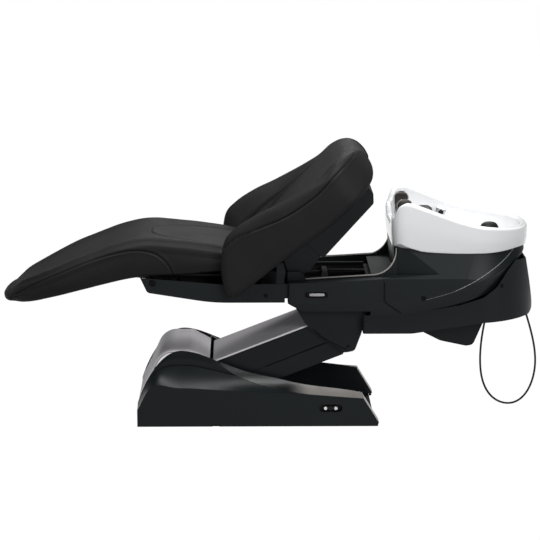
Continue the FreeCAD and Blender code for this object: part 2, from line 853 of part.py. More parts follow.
# Lower arm: two beams on a torque tube with the cylinder's horn, in arm axes and then turned
def make_lower_arm():
    outer = arm_cover_half - arm_cover_wall
    beam = side_slab(stadium(0, arm_length, lower_beam_half_height), -outer, -lower_beam_inner)
    tube_low = bar_y(0, 0, torque_tube_r, -outer, outer)
    tube_high = bar_y(arm_length - cross_tube_end_gap, 0, cross_tube_r, -outer, outer)
    tilt = horn_tilt - arm_angle
    horn = side_slab(stadium(0, horn_length, horn_half_height), -horn_gap_half - horn_thickness,
                     -horn_gap_half)
    slot = bar_y(horn_length, 0, cylinder_pin_r + horn_play, -outer, outer)
    horn = horn.cut(slot)
    horn.rotate(V(0, 0, 0), AXIS_Y, -tilt)
    arm = joined([beam, mirrored(beam), tube_low, tube_high, horn, mirrored(horn)])
    for s, r in ((0, lower_pin_r), (arm_length, lower_pin_r)):
        bore = bar_y(s, 0, r + fit_gap, -outer - cut_over, -pin_inner + seat_gap)
        arm = arm.cut(bore).cut(mirrored(bore))
    return at_angle(arm, lower_pivot_x, lower_pivot_z, arm_angle)


def make_lower_cover():
    half = arm_cover_half
    end = arm_length - lower_cover_rear_gap
    outline = [(lower_cover_start, lower_cover_low, 0), (end, lower_cover_low, 0),
               (end, lower_cover_high, 0),
               (lower_cover_start, lower_cover_high, 0)]
    outer = side_slab(outline, -half, half)
    inner = block(lower_cover_start - cut_over, end + cut_over, -half + arm_cover_wall,
                  half - arm_cover_wall, lower_cover_low + arm_top_thickness, lower_cover_high + cut_over)
    return at_angle(outer.cut(inner), lower_pivot_x, lower_pivot_z, arm_angle)


# Upper arm: two lighter beams, dark side panels and a grey top cover
def make_upper_arm():
    outer = arm_cover_half - arm_cover_wall
    beam = side_slab(stadium(0, arm_length, upper_beam_half_height), -outer, -upper_beam_inner)
    parts = [beam, mirrored(beam)]
    for share in cross_tube_shares:
        parts.append(bar_y(share * arm_length, 0, cross_tube_r, -outer, outer))
        post = block(share * arm_length - cross_tube_r, share * arm_length + cross_tube_r, -cross_tube_r,
                     cross_tube_r,
                     0, upper_cover_high - arm_top_thickness)
        parts.append(post)
    arm = joined(parts)
    for s in (0, arm_length):
        bore = bar_y(s, 0, upper_pin_r + fit_gap, -outer - cut_over, -pin_inner + seat_gap)
        arm = arm.cut(bore).cut(mirrored(bore))
    return at_angle(arm, link_low_x, link_low_z, arm_angle)


def upper_cover_front(n):
    """Place along the arm, at height n over its axis, where the upright front end of its covers lies."""
    turn = math.radians(arm_angle)
    return (upper_cover_front_x - link_low_x + n * math.sin(turn)) / math.cos(turn)


def make_upper_sides():
    top = upper_cover_high - arm_top_lip
    end = arm_length - upper_cover_rear_gap
    outline = [(upper_cover_front(upper_cover_low), upper_cover_low, 0), (end, upper_cover_low, 0),
               (end, top, 0),
               (upper_cover_front(top), top, 0)]
    panel = side_slab(outline, -arm_cover_half, -arm_cover_half + arm_cover_wall)
    return at_angle(both_sides(panel), link_low_x, link_low_z, arm_angle)


def make_arm_top():
    low = upper_cover_high - arm_top_lip
    end = arm_length - upper_cover_rear_gap
    start = upper_cover_front(low)
    outer = side_slab([(start, low, 0), (end, low, 0), (end, upper_cover_high, 0),
                       (upper_cover_front(upper_cover_high), upper_cover_high, upper_cover_corner_r)],
                      -arm_cover_half, arm_cover_half)
    inner = block(start - cut_over, end + cut_over, -arm_cover_half + arm_cover_wall,
                  arm_cover_half - arm_cover_wall, low - cut_over, upper_cover_high - arm_top_thickness)
    return at_angle(outer.cut(inner), link_low_x, link_low_z, arm_angle)


# Hull of the rail covers and tub: rounded plans lofted through a crease and a band edge rising to the rear
def rise_share(x):
    return max(0.0, (x - rise_start_x) / (tub_rear_x - rise_start_x)) ** 2


def crease_height(x):
    return rail_bottom_z + crease_rise * rise_share(x)


def band_height(x):
    return rail_bottom_z - band_drop + band_rise * rise_share(x)


def lifted_wire(corners, height):
    """Rounded plan whose edges are carried up to the height that each place along the bed has."""
    flat = corner_wire(corners, lambda u, v: V(u, v, 0))
    edges = []
    for edge in flat.Edges:
        points = []
        for p in edge.discretize(9):
            points.append(V(p.x, p.y, height(p.x)))
        curve = Part.BSplineCurve()
        curve.interpolate(points)
        edges.append(curve.toShape())
    return Part.Wire(edges)


def hull_form(inset):
    def outline(half, rear, r_rear):
        return plan_rounded(rail_front_x + inset, rear - inset, half - inset, rail_corner_r, r_rear - inset)
    low = outline(skirt_half, tub_rear_x - (rail_half - skirt_half), tub_rear_r - (rail_half - skirt_half))
    wide = outline(rail_half, tub_rear_x, tub_rear_r)
    high = outline(rail_half - rail_draft, tub_rear_x, tub_rear_r)
    top = outline(tub_top_half, tub_top_rear_x, tub_rear_r - (rail_half - tub_top_half))
    drop = inset * 0.4
    wires = [
        corner_wire(low, lambda u, v: V(u, v, hull_floor_z - inset)),
        lifted_wire(low, lambda x: band_height(x) - drop),
        lifted_wire(wide, lambda x: crease_height(x) + drop),
        lifted_wire(high, lambda x: max(crease_height(x) + hull_top_lead, rail_top_z + 2 * hull_top_lead)),
        corner_wire(top, lambda u, v: V(u, v, tub_top_z + (0 if inset == 0 else panel_gap)))]
    return Part.makeLoft(wires, True, True)


def column_form(inset):
    """Column that carries the basin, narrow in front and flush with the hull behind."""
    def plan(front, half, wide, rear, r):
        return [(front + inset, -half + inset, column_front_r), (ledge_end_x, -wide + inset,
                                                                 column_shoulder_r),
                (rear - inset, -wide + inset, r), (rear - inset, wide - inset, r),
                (ledge_end_x, wide - inset, column_shoulder_r), (front + inset, half - inset,
                                                                 column_front_r)]
    wide = rail_half + column_side_over
    rear = tub_rear_x + column_rear_over
    low = plan(column_front_x, column_half, wide, rear, tub_rear_r)
    high = plan(column_top_front_x, column_half - column_draft, wide, rear, tub_rear_r)
    wires = [corner_wire(low, lambda u, v: V(u, v, rail_bottom_z)),
             corner_wire(high, lambda u, v: V(u, v, tub_top_z + cut_over))]
    return Part.makeLoft(wires, True, True)


def band_floor(shift):
    """Side view of everything above the band's lower edge."""
    xs = [rail_front_x - cut_over, rise_start_x, 0.5 * (rise_start_x + tub_rear_x),
          0.8 * tub_rear_x + 0.2 * rise_start_x,
          tub_rear_x + cut_over]
    points = [V(x, -base_width, band_height(x) - shift) for x in xs]
    curve = Part.BSplineCurve()
    curve.interpolate(points[1:])
    high = tub_top_z + 2 * cut_over
    corner_a = V(xs[-1], -base_width, high)
    corner_b = V(xs[0], -base_width, high)
    wire = Part.Wire([Part.LineSegment(points[0], points[1]).toShape(), curve.toShape(),
                      Part.LineSegment(points[-1], corner_a).toShape(),
                      Part.LineSegment(corner_a, corner_b).toShape(),
                      Part.LineSegment(corner_b, points[0]).toShape()])
    return Part.Face(wire).extrude(V(0, 2 * base_width, 0))


def ledge_height(x):
    return rail_top_z + ledge_rise * max(0.0, (x - rail_front_x) / (ledge_end_x - rail_front_x)) ** 1.5


def above_ledge(drop):
    """Side view of the space above the rails' ledge, to be kept out of the hull beside the column."""
    run = ledge_end_x - rail_front_x
    knots = [rail_front_x + share * run for share in ledge_knot_shares]
    xs = [rail_front_x - cut_over] + knots + [ledge_end_x, tub_rear_x]
    points = [V(x, -base_width, ledge_height(x) - drop) for x in xs]
    curve = Part.BSplineCurve()
    curve.interpolate(points)
    high = tub_top_z + 2 * cut_over
    corner_a = V(xs[-1], -base_width, high)
    corner_b = V(xs[0], -base_width, high)
    wire = Part.Wire([curve.toShape(), Part.LineSegment(points[-1], corner_a).toShape(),
                      Part.LineSegment(corner_a, corner_b).toShape(),
                      Part.LineSegment(corner_b, points[0]).toShape()])
    return Part.Face(wire).extrude(V(0, 2 * base_width, 0))


def band_front_cut():
    """Space behind the bracket covers where the band stops higher, with a slanted front."""
    low = hull_floor_z - cut_over
    x0 = rail_front_x - cut_over
    return side_slab([(x0, low, 0), (band_front_x, low, 0), (band_front_x, band_front_z, 0),
                      (rail_front_x + band_chamfer, band_front_z, 0),
                      (rail_front_x, rail_bottom_z - band_step, 0),
                      (x0, rail_bottom_z - band_step, 0)], -base_width, base_width)


def shell_form(inset):
    body = hull_form(inset).common(band_floor(cut_over if inset else 0))
    if inset == 0:
        body = body.cut(band_front_cut())
    return body.cut(above_ledge(inset).cut(column_form(inset)))


def seam_zone(front, gap):
    """Side view of the rail covers' part (front) or the tub's part of the hull."""
    z_low = rail_bottom_z - band_drop - cut_over
    z_step = rail_bottom_z + seam_step_z
    high = tub_top_z + 3 * cut_over
    seam = [(rail_seam_x + gap, high, 0), (rail_seam_x + gap, z_step, 0),
            (rail_seam_x + seam_step_x + gap, z_low + cut_over, 0),
            (rail_seam_x + seam_step_x + gap, z_low, 0)]
    end = rail_front_x - cut_over if front else tub_rear_x + 2 * cut_over
    return side_slab([(end, high, 0)] + seam + [(end, z_low, 0)], -base_width, base_width)


def channel():
    """Space between the rails, open above, for the sliding back."""
    return block(rail_front_x - cut_over, column_front_x - sweep_r, -channel_half, channel_half,
                 hull_floor_z,
                 tub_top_z + 2 * cut_over)


def flange_form():
    """Raised inner flange of the left rail, sweeping up to the column."""
    high = tub_top_z - seat_gap
    x_turn = column_front_x - sweep_r
    z_turn = ledge_height(x_turn) + flange_height
    start = V(x_turn, -channel_half, z_turn)
    end = V(column_front_x, -channel_half, z_turn + sweep_r)
    middle = V(x_turn + sweep_r * math.sin(math.pi / 4), -channel_half,
               z_turn + sweep_r * (1 - math.cos(math.pi / 4)))
    front_top = V(rail_front_x + flange_nose_length, -channel_half, rail_top_z + flange_nose_height)
    front_low = V(rail_front_x + flange_ramp_length, -channel_half, rail_top_z + flange_height)
    front = V(rail_front_x, -channel_half, rail_top_z + flange_nose_height)
    up = V(column_front_x, -channel_half, high)
    back = V(column_front_x + flange_root, -channel_half, high)
    floor_back = V(column_front_x + flange_root, -channel_half, rail_bottom_z + flange_root)
    floor_front = V(rail_front_x, -channel_half, rail_bottom_z + flange_root)
    lines = [(floor_front, floor_back), (floor_back, back), (back, up), (up, end)]
    edges = [Part.LineSegment(a, b).toShape() for a, b in lines]
    edges.append(Part.Arc(end, middle, start).toShape())
    edges += [Part.LineSegment(a, b).toShape() for a, b in ((start, front_low), (front_low, front_top),
                                                             (front_top, front), (front, floor_front))]
    return Part.Face(Part.Wire(edges)).extrude(V(0, -flange_thickness, 0))


def make_shells():
    """Rail covers, tub shell and pale trims, all cut from one hull."""
    outer = shell_form(0)
    inner = shell_form(rail_wall)
    side_keep = channel()
    walls = outer.cut(inner)
    flange = flange_form()
    middle = block(rail_front_x - 2 * cut_over, tub_rear_x, -channel_half, channel_half,
                   hull_floor_z - 2 * cut_over,
                   tub_top_z + 4 * cut_over)
    covers = walls.cut(side_keep).common(seam_zone(True, 0)).cut(middle)
    left_half = block(rail_front_x - cut_over, tub_rear_x, -base_width, 0, hull_floor_z,
                      tub_top_z + cut_over)
    left = covers.common(left_half)
    tongue = block(rail_front_x - tongue_reach, rail_front_x + rail_wall / 2, -tongue_half - rail_wall,
                   -tongue_half,
                   tongue_low_z, rail_top_z - rail_wall)
    left = joined([left, flange.common(seam_zone(True, 0)), tongue])
    tub = walls.cut(side_keep).cut(seam_zone(True, panel_gap).cut(middle))
    end_flange = flange.common(seam_zone(False, panel_gap))
    tub = joined([tub, end_flange, mirrored(end_flange)])
    trim = flange.copy()
    trim.translate(V(-trim_thickness, 0, trim_thickness))
    start = block(rail_front_x + flange_nose_length, column_front_x + flange_root, -base_width, 0,
                  rail_top_z, tub_top_z)
    trim = trim.cut(flange).common(start).cut(outer)
    return left, tub, trim


# Bracket plates, covers and chassis of the bed frame
def make_bracket_plates():
    x0 = bed_pivot_x - bracket_pivot_share_x * bracket_length
    z0 = bed_pivot_z - bracket_pivot_share_z * bracket_height
    plate = side_slab(scaled(bracket_plate_shares, x0, bracket_length, z0, bracket_height),
                      -bracket_plate_outer,
                      -bracket_plate_inner)
    top = block(x0, x0 + bracket_length, -base_width, 0, chassis_low_z + chassis_height,
                chassis_low_z + 4 * cut_over)
    plate = plate.cut(top)
    for x, z, r in ((bed_pivot_x, bed_pivot_z, lower_pin_r),
                    (bed_pivot_x + link_offset_x, bed_pivot_z + link_offset_z, upper_pin_r)):
        plate = plate.cut(bar_y(x, z, r, -base_width, 0))
    foot = block(x0 + 0.3 * bracket_length, x0 + 0.8 * bracket_length, -bracket_plate_inner,
                 -chassis_inner - chassis_width, chassis_low_z, chassis_low_z + chassis_height)
    return both_sides(joined([plate, foot]))


def make_bracket_cover():
    x0 = bed_pivot_x - bracket_pivot_share_x * bracket_length
    z0 = bed_pivot_z - bracket_pivot_share_z * bracket_height
    return side_slab(scaled(bracket_cover_shares, x0, bracket_length, z0, bracket_height),
                     -bracket_cover_outer,
                     -bracket_cover_inner)


def make_chassis_rails():
    y0 = -chassis_inner - chassis_width
    tube = block(chassis_front_x, chassis_rear_x, y0, -chassis_inner, chassis_low_z,
                 chassis_low_z + chassis_height)
    bore = block(chassis_front_x - cut_over, chassis_rear_x + cut_over, y0 + chassis_wall,
                 -chassis_inner - chassis_wall,
                 chassis_low_z + chassis_wall, chassis_low_z + chassis_height - chassis_wall)
    return both_sides(tube.cut(bore))


def make_cross_members():
    bars = []
    for x in cross_member_positions:
        bar = block(x - cross_member_width / 2, x + cross_member_width / 2, -chassis_inner, chassis_inner,
                    chassis_low_z, chassis_low_z + chassis_height)
        if x < slide_barrel_front_x:
            passage = bar_x(slide_barrel_y, slide_axis_z(), slide_rod_r + rod_passage_gap, 0,
                            slide_barrel_front_x)
        else:
            passage = bar_x(slide_barrel_y, slide_axis_z(), slide_barrel_r, slide_barrel_front_x,
                            slide_barrel_rear_x)
        bars.append(bar.cut(passage))
    for x in outrigger_positions:
        arm = block(x - cross_member_width / 2, x + cross_member_width / 2, chassis_inner + chassis_width,
                    channel_half,
                    chassis_low_z, chassis_low_z + chassis_height)
        bars += [arm, mirrored(arm)]
    return Part.makeCompound(bars)


def make_slide_rails():
    y = -chassis_inner - chassis_width / 2
    z0 = chassis_low_z + chassis_height
    rail = block(chassis_front_x, slide_rail_rear_x, y - slide_rail_width / 2, y + slide_rail_width / 2, z0,
                 z0 + slide_rail_height)
    return both_sides(rail)


# Skirt under the tub and the lobe that covers the trap
def make_skirt(hull_outer):
    length = skirt_rear_x - skirt_front_x
    height = skirt_top_z - skirt_low_z

    def form(inset, low, top):
        side = scaled(low + top, skirt_front_x, length, skirt_low_z, height)
        corners = []
        for u, v, r in side:
            lowered = v < skirt_top_z - fit_gap and u > skirt_front_x + 0.9 * length
            corners.append((u - inset if lowered else u, v + inset if v < skirt_low_z + 0.2 * height else v,
                            r))
        body = side_slab(corners, -base_width, base_width)
        plan = plan_rounded(skirt_front_x - inset * cut_over, skirt_rear_x - inset,
                            skirt_half - skirt_side_gap - inset, skirt_front_r,
                            skirt_rear_r)
        return body.common(plan_slab(plan, skirt_low_z - 3 * cut_over, skirt_top_z + 3 * cut_over))
    outer = form(0, skirt_low_shares, skirt_top_shares)
    inner = form(skirt_wall, ((-0.2, 0, 0),) + skirt_low_shares[1:], ((0.9, 1.3, 0), (-0.2, 1.3, 0)))
    passage = bar_z(drain_x, 0, trap_r + trap_clearance, lobe_low_z, lobe_top_z + cut_over)
    return outer.cut(inner).cut(hull_outer).cut(passage).cut(nodes["shower_hose"]), outer


def make_lobe(skirt_outer):
    length = lobe_rear_x - lobe_front_x
    height = lobe_top_z - lobe_low_z
    outer = side_slab(scaled(lobe_shares, lobe_front_x, length, lobe_low_z, height), -lobe_half, lobe_half)
    inner = side_slab(scaled(lobe_shares, lobe_front_x + skirt_wall, length - 2 * skirt_wall,
                             lobe_low_z + skirt_wall,
                             height), -lobe_half + skirt_wall, lobe_half - skirt_wall)
    return outer.cut(inner).cut(skirt_outer)


def make_drain_pipe():
    pipe = bar_z(drain_x, 0, drain_pipe_r, trap_high_z, bowl_floor_z - bowl_shell)
    return pipe.cut(bar_z(drain_x, 0, drain_pipe_r - drain_pipe_wall, trap_high_z - cut_over, bowl_floor_z))


def make_trap():
    cup = bar_z(drain_x, 0, trap_r, trap_low_z, trap_high_z)
    return cup.makeFillet(trap_edge_r,
                          [e for e in cup.Edges if abs(e.BoundBox.ZMax - trap_low_z) < panel_gap])


# Ceramic basin: outer skirt and bowl lofts, cut by the sloping rim and the neck notch
def basin_plan(inset, z):
    corners = plan_rounded(basin_front_x + inset, basin_rear_x - inset, basin_half - inset,
                           max(basin_front_r - inset, basin_least_r),
                           basin_rear_r - inset)
    return corner_wire(corners, lambda u, v: V(u, v, z))


def bowl_plan(grow, z):
    corners = plan_rounded(bowl_front_x - grow, bowl_rear_x + grow, bowl_half + grow, bowl_r + grow * 0.5,
                           bowl_r + grow * 0.5)
    return corner_wire(corners, lambda u, v: V(u, v, z))


def make_basin():
    outer = Part.makeLoft([basin_plan(basin_foot_inset, basin_low_z),
                           basin_plan(0, 0.5 * (basin_low_z + basin_high_z)),
                           basin_plan(basin_draft, basin_blank_z)], True, True)
    under = Part.makeLoft([bowl_plan(bowl_shell, bowl_floor_z - bowl_shell),
                           basin_plan(basin_foot_inset + basin_wall * 0.8, basin_low_z)], True, True)
    hollow = Part.makeLoft([bowl_plan(0, bowl_floor_z), basin_plan(basin_foot_inset + basin_wall * 1.7,
                                                                   basin_low_z),
                            basin_plan(basin_wall, basin_high_z), basin_plan(basin_wall * 0.9,
                                                                             basin_blank_z + cut_over)],
                           True, True)
    length = basin_rear_x - basin_front_x
    height = basin_high_z - basin_low_z
    points = [V(basin_front_x + u * length, -base_width, basin_low_z + v * height) for u, v in rim_shares]
    curve = Part.BSplineCurve()
    curve.interpolate(points)
    a = V(points[-1].x, -base_width, basin_low_z - 4 * cut_over)
    b = V(points[0].x, -base_width, basin_low_z - 4 * cut_over)
    wire = Part.Wire([curve.toShape(), Part.LineSegment(points[-1], a).toShape(),
                      Part.LineSegment(a, b).toShape(),
                      Part.LineSegment(b, points[0]).toShape()])
    below_rim = Part.Face(wire).extrude(V(0, 2 * base_width, 0))
    notch = end_slab([(-notch_half - notch_flare, basin_blank_z + cut_over, 0),
                      (-notch_half, notch_low_z, notch_r),
                      (notch_half, notch_low_z, notch_r), (notch_half + notch_flare,
                                                           basin_blank_z + cut_over, 0)],
                     basin_front_x - cut_over, basin_front_x + 2.6 * basin_wall)
    body = outer.fuse(under).common(below_rim).cut(hollow).cut(notch)
    body = body.cut(bar_z(drain_x, 0, drain_hole_r, bowl_floor_z - cut_over, bowl_floor_z + cut_over))
    return body.removeSplitter()


# Fittings inside the basin
def make_neck_rest():
    t = neck_rest_thickness
    low = notch_low_z + soft_gap
    half = notch_half - soft_gap
    tip = half + neck_rest_flare
    foot = half - neck_rest_play
    top = neck_rest_lobe_top
    inner_r = notch_r * 0.8
    outer = [(-tip, top, neck_rest_tip_r), (-foot, low, notch_r), (foot, low, notch_r),
             (tip, top, neck_rest_tip_r),
             (tip - t, top, neck_rest_inner_r), (half - t, low + t, inner_r), (-half + t, low + t, inner_r),
             (-tip + t, top, neck_rest_inner_r)]
    pad = end_slab(outer, neck_rest_front_x, neck_rest_front_x + neck_rest_length)
    return pad.cut(nodes["basin"])


def make_head_pad():
    x0 = head_pad_x - head_pad_length / 2
    x1 = x0 + head_pad_length
    low = head_pad_z - head_pad_height / 2
    high = head_pad_z + head_pad_height / 2
    outline = [(x0, low, head_pad_low_r), (x1, low, head_pad_low_r), (x1, head_pad_z, head_pad_rear_r),
               (head_pad_x, high, head_pad_crown_r), (x0, head_pad_z + head_pad_height / 4,
                                                      head_pad_front_r)]
    return side_slab(outline, -head_pad_half, head_pad_half)


def make_head_arm():
    """Bracket from the basin's front wall to the head pad."""
    x0 = basin_front_x + 0.8 * basin_wall
    z1 = head_pad_z - head_pad_height / 2
    z0 = notch_low_z - 4 * head_arm_thickness
    arm = side_slab([(x0, z0, 0), (x0 + head_arm_thickness * 4, z0, 0),
                     (head_pad_x, z1 - head_arm_thickness, head_arm_bend_r),
                     (head_pad_x + head_arm_width, z1 - head_arm_thickness, 0),
                     (head_pad_x + head_arm_width, z1, 0),
                     (head_pad_x - head_arm_width / 2, z1, head_arm_bend_r),
                     (x0, notch_low_z - head_arm_thickness, 0)],
                    -head_arm_width / 2, head_arm_width / 2)
    return arm.cut(nodes["basin"]).cut(nodes["neck_rest"])


def wall_y(z):
    """Half width of the basin's inner wall at a height."""
    share = (z - basin_low_z) / (basin_high_z - basin_low_z)
    low = basin_half - basin_foot_inset - basin_wall * 1.7
    high = basin_half - basin_wall
    return low + share * (high - low)


def make_mixer_body():
    y1 = wall_y(mixer_base_z) + 3 * panel_gap
    stand = bar_z(mixer_x, mixer_y, mixer_r, mixer_base_z - mixer_height / 2,
                  mixer_base_z + mixer_height / 2)
    arm = block(mixer_x - mixer_r * 0.7, mixer_x + mixer_r * 0.7, mixer_y, y1,
                mixer_base_z - mixer_height / 3,
                mixer_base_z + mixer_height / 4)
    spindle = bar_z(mixer_x, mixer_y, mixer_spindle_r, mixer_base_z,
                    mixer_base_z + mixer_height / 2 + lever_thickness)
    return joined([stand, arm, spindle]).cut(nodes["basin"])


def make_mixer_lever():
    z0 = mixer_base_z + mixer_height / 2 + fit_gap
    cap = bar_z(mixer_x, mixer_y, mixer_r * 0.95, z0, z0 + 2 * lever_thickness)
    blade = block(mixer_x, mixer_x + lever_length, mixer_y - lever_width / 2, mixer_y + lever_width / 2,
                  z0 + lever_thickness, z0 + 2 * lever_thickness)
    bore = bar_z(mixer_x, mixer_y, mixer_spindle_r + fit_gap, z0 - cut_over, z0 + lever_thickness + fit_gap)
    return joined([cap, blade]).cut(bore)


def make_shower_holder():
    z0 = shower_z - shower_height / 2 - holder_height
    ring = bar_z(shower_x, 0, holder_r, z0, z0 + holder_height)
    reach = block(shower_x, basin_rear_x - basin_wall * 0.6, -holder_r * 0.7, holder_r * 0.7, z0,
                  z0 + holder_height * 0.6)
    ring = joined([ring, reach])
    return ring.cut(bar_z(shower_x, 0, shower_stem_r + fit_gap, z0 - cut_over,
                          z0 + 2 * cut_over)).cut(nodes["basin"])


def make_hand_shower():
    head = Part.makeSphere(shower_r, V(0, 0, 0))
    matrix = FreeCAD.Matrix()
    matrix.scale(1.0, 1.0, shower_height / (2 * shower_r) * 1.4)
    head = head.transformGeometry(matrix)
    head.translate(V(shower_x, 0, shower_z))
    flat = block(shower_x - 2 * shower_r, shower_x + 2 * shower_r, -2 * shower_r, 2 * shower_r,
                 shower_z - shower_height / 2 - cut_over, shower_z - shower_height / 2)
    head = head.cut(flat)
    stem = bar_z(shower_x, 0, shower_stem_r, shower_z - shower_height / 2 - shower_stem_length, shower_z)
    return joined([head, stem])


# Sliding seat carriage
def make_seat_frame():
    y = -chassis_inner - chassis_width / 2
    z_rail = chassis_low_z + chassis_height
    clear = slide_rail_width / 2 + 2 * seat_gap
    runner = block(runner_front_x, runner_rear_x, y - runner_half_width, y + runner_half_width,
                   z_rail + 2 * seat_gap,
                   runner_top_z)
    runner = runner.cut(block(runner_front_x - cut_over, runner_rear_x + cut_over, y - clear, y + clear,
                              z_rail,
                              z_rail + slide_rail_height + seat_gap))
    fore = block(knee_x - knee_ear_r, runner_front_x + cut_over, y - knee_ear_thickness / 2,
                 y + runner_half_width,
                 z_rail + slide_rail_height + seat_gap, runner_top_z)
    pan = plan_slab(plan_rounded(knee_x + seat_pan_front_gap, seat_pan_rear_x, seat_pan_half,
                                 seat_pan_corner_r,
                                 seat_pan_corner_r), runner_top_z, runner_top_z + seat_pan_thickness)
    ear = bar_y(back_pivot_x, back_pivot_z, back_ear_r, -back_ear_inner - back_ear_thickness,
                -back_ear_inner)
    web = block(back_pivot_x - 3 * back_ear_r, back_pivot_x, -back_ear_inner - back_ear_thickness,
                y - runner_half_width + runner_lap,
                 back_pivot_z - back_ear_r / 2, back_pivot_z + back_ear_r / 2)
    knee_ear = bar_y(knee_x, knee_z, knee_ear_r, y - knee_ear_thickness / 2, y + knee_ear_thickness / 2)
    cross = block(back_pivot_x - 3.6 * back_ear_r, back_pivot_x - 2.8 * back_ear_r, y, -y,
                  z_rail + slide_rail_height + seat_gap,
                  runner_top_z)
    arms = []
    for x in seat_outrigger_positions:
        z1 = z_rail + seat_outrigger_height + panel_gap
        arms.append(block(x - seat_outrigger_width / 2, x + seat_outrigger_width / 2,
                          -seat_half + undercover_wall,
                          y - runner_half_width + runner_lap, z_rail + panel_gap, z1))
    fore_side = block(knee_x + knee_drop_x, runner_front_x + cut_over, y - runner_half_width, y,
                      z_rail + slide_rail_height + seat_gap, runner_top_z)
    bridge = block(seat_outrigger_positions[0] - seat_outrigger_width / 2,
                   seat_outrigger_positions[0] + seat_outrigger_width / 2,
                   y - runner_half_width, y - runner_half_width + seat_bridge_thickness, z_rail + panel_gap,
                   runner_top_z)
    side = joined([runner, fore, fore_side, bridge, ear, web, knee_ear] + arms)
    frame = joined([side, mirrored(side), pan, cross])
    frame = frame.cut(bar_y(back_pivot_x, back_pivot_z, back_pin_r + fit_gap, -base_width, base_width))
    frame = frame.cut(bar_y(knee_x, knee_z, knee_shaft_r + fit_gap, -base_width, base_width))
    lug = block(slide_rod_front_x - slide_lug_half, slide_rod_front_x, slide_barrel_y - slide_lug_half,
                slide_barrel_y + slide_lug_half, chassis_low_z, runner_top_z)
    hanger = block(recline_barrel_front_x - recline_lug_thickness, recline_barrel_front_x, -recline_lug_half,
                   recline_lug_half, horn_low_z() - recline_lug_half, runner_top_z)
    return joined([frame, lug, hanger])


def horn_low_x():
    return back_pivot_x + horn_drop * math.cos(math.radians(horn_angle))


def horn_low_z():
    return back_pivot_z + horn_drop * math.sin(math.radians(horn_angle))


def make_undercover():
    length = seat_rear_x - seat_front_x
    height = undercover_top_z - undercover_low_z
    outer = side_slab(scaled(undercover_shares, seat_front_x, length, undercover_low_z, height), -seat_half,
                      seat_half)
    shift = undercover_wall
    inner = side_slab(scaled(undercover_shares, seat_front_x + shift, length, undercover_low_z + shift,
                             height),
                      -seat_half + shift, seat_half - shift)
    inner2 = block(seat_front_x + undercover_floor_start, seat_rear_x + cut_over, -seat_half + shift,
                   seat_half - shift,
                   undercover_low_z + 0.7 * height, undercover_top_z + cut_over)
    mouth = block(seat_front_x - cut_over, knee_x + knee_mouth_length, -knee_mouth_half(),
                  knee_mouth_half(), knee_z - knee_mouth_drop, undercover_top_z + cut_over)
    return outer.cut(inner).cut(inner2).cut(mouth)


def knee_mouth_half():
    return seat_half - undercover_wall - knee_mouth_gap


def make_gearmotor():
    housing = bar_y(knee_x, knee_z, gearmotor_r, -gearmotor_half, gearmotor_half)
    saddle = block(knee_x, knee_x + gearmotor_saddle_length, -gearmotor_half * 0.6, gearmotor_half * 0.6,
                   knee_z, runner_top_z)
    tongue = joined([housing, saddle])
    return tongue.cut(bar_y(knee_x, knee_z, knee_shaft_r + fit_gap, -gearmotor_half - cut_over,
                            gearmotor_half + cut_over))


def make_recline_actuator():
    z = horn_low_z()
    barrel = bar_x(0, z, recline_barrel_r, recline_barrel_front_x, recline_barrel_rear_x)
    return barrel.cut(bar_x(0, z, recline_rod_r + fit_gap, recline_barrel_front_x + recline_end_wall,
                            recline_barrel_rear_x + cut_over))


def make_recline_rod():
    z = horn_low_z()
    x = horn_low_x()
    rod = bar_x(0, z, recline_rod_r, recline_barrel_front_x + recline_rod_start, x - recline_eye_lap)
    eye = bar_y(x, z, recline_pin_r * 1.9, -recline_eye_half, recline_eye_half)
    pin = bar_y(x, z, recline_pin_r, -recline_pin_half, recline_pin_half)
    return joined([rod, eye, pin])


def slide_axis_z():
    return chassis_low_z + chassis_height / 2


def make_slide_actuator():
    z = slide_axis_z()
    barrel = bar_x(slide_barrel_y, z, slide_barrel_r, slide_barrel_front_x, slide_barrel_rear_x)
    barrel = barrel.cut(bar_x(slide_barrel_y, z, slide_rod_r + fit_gap, slide_barrel_front_x - cut_over,
                              slide_barrel_rear_x - slide_end_wall))
    return barrel


def make_slide_rod():
    return bar_x(slide_barrel_y, slide_axis_z(), slide_rod_r, slide_rod_front_x, slide_rod_rear_x)


# Cushion loft along the bed: flat underside, drawn-in sides and a crowned top
def cushion_wire(x, half, low, edge_top, roll, crown):
    roll = min(roll, 0.45 * (edge_top - low))
    a = V(x, -half + roll, low)
    b = V(x, half - roll, low)
    c = V(x, half - roll, edge_top)
    d = V(x, -half + roll, edge_top)
    middle = 0.5 * (low + edge_top)
    return Part.Wire([
        Part.LineSegment(a, b).toShape(), Part.Arc(b, V(x, half, middle), c).toShape(),
        Part.Arc(c, V(x, 0, edge_top + crown), d).toShape(), Part.Arc(d, V(x, -half, middle), a).toShape()])


def knee_drum(extra):
    return bar_y(knee_x, knee_z, knee_drum_r + extra, -base_width, base_width)


def make_seat_cushion():
    length = seat_cushion_rear_x - knee_x
    height = knee_z + knee_drum_r - cushion_crown - seat_cushion_low_z
    wires = []
    for along, share in seat_station_shares:
        x = knee_x + along * length
        pull = cushion_pull * math.sin(math.pi * along)
        wires.append(cushion_wire(x, seat_cushion_half - pull, seat_cushion_low_z,
                                  seat_cushion_low_z + share * height,
                                  cushion_roll, cushion_crown))
    return Part.makeLoft(wires, True, False).cut(knee_drum(soft_gap))


def leg_low_z(share):
    return knee_z + knee_drum_r - cushion_crown - leg_rise + share * leg_rise


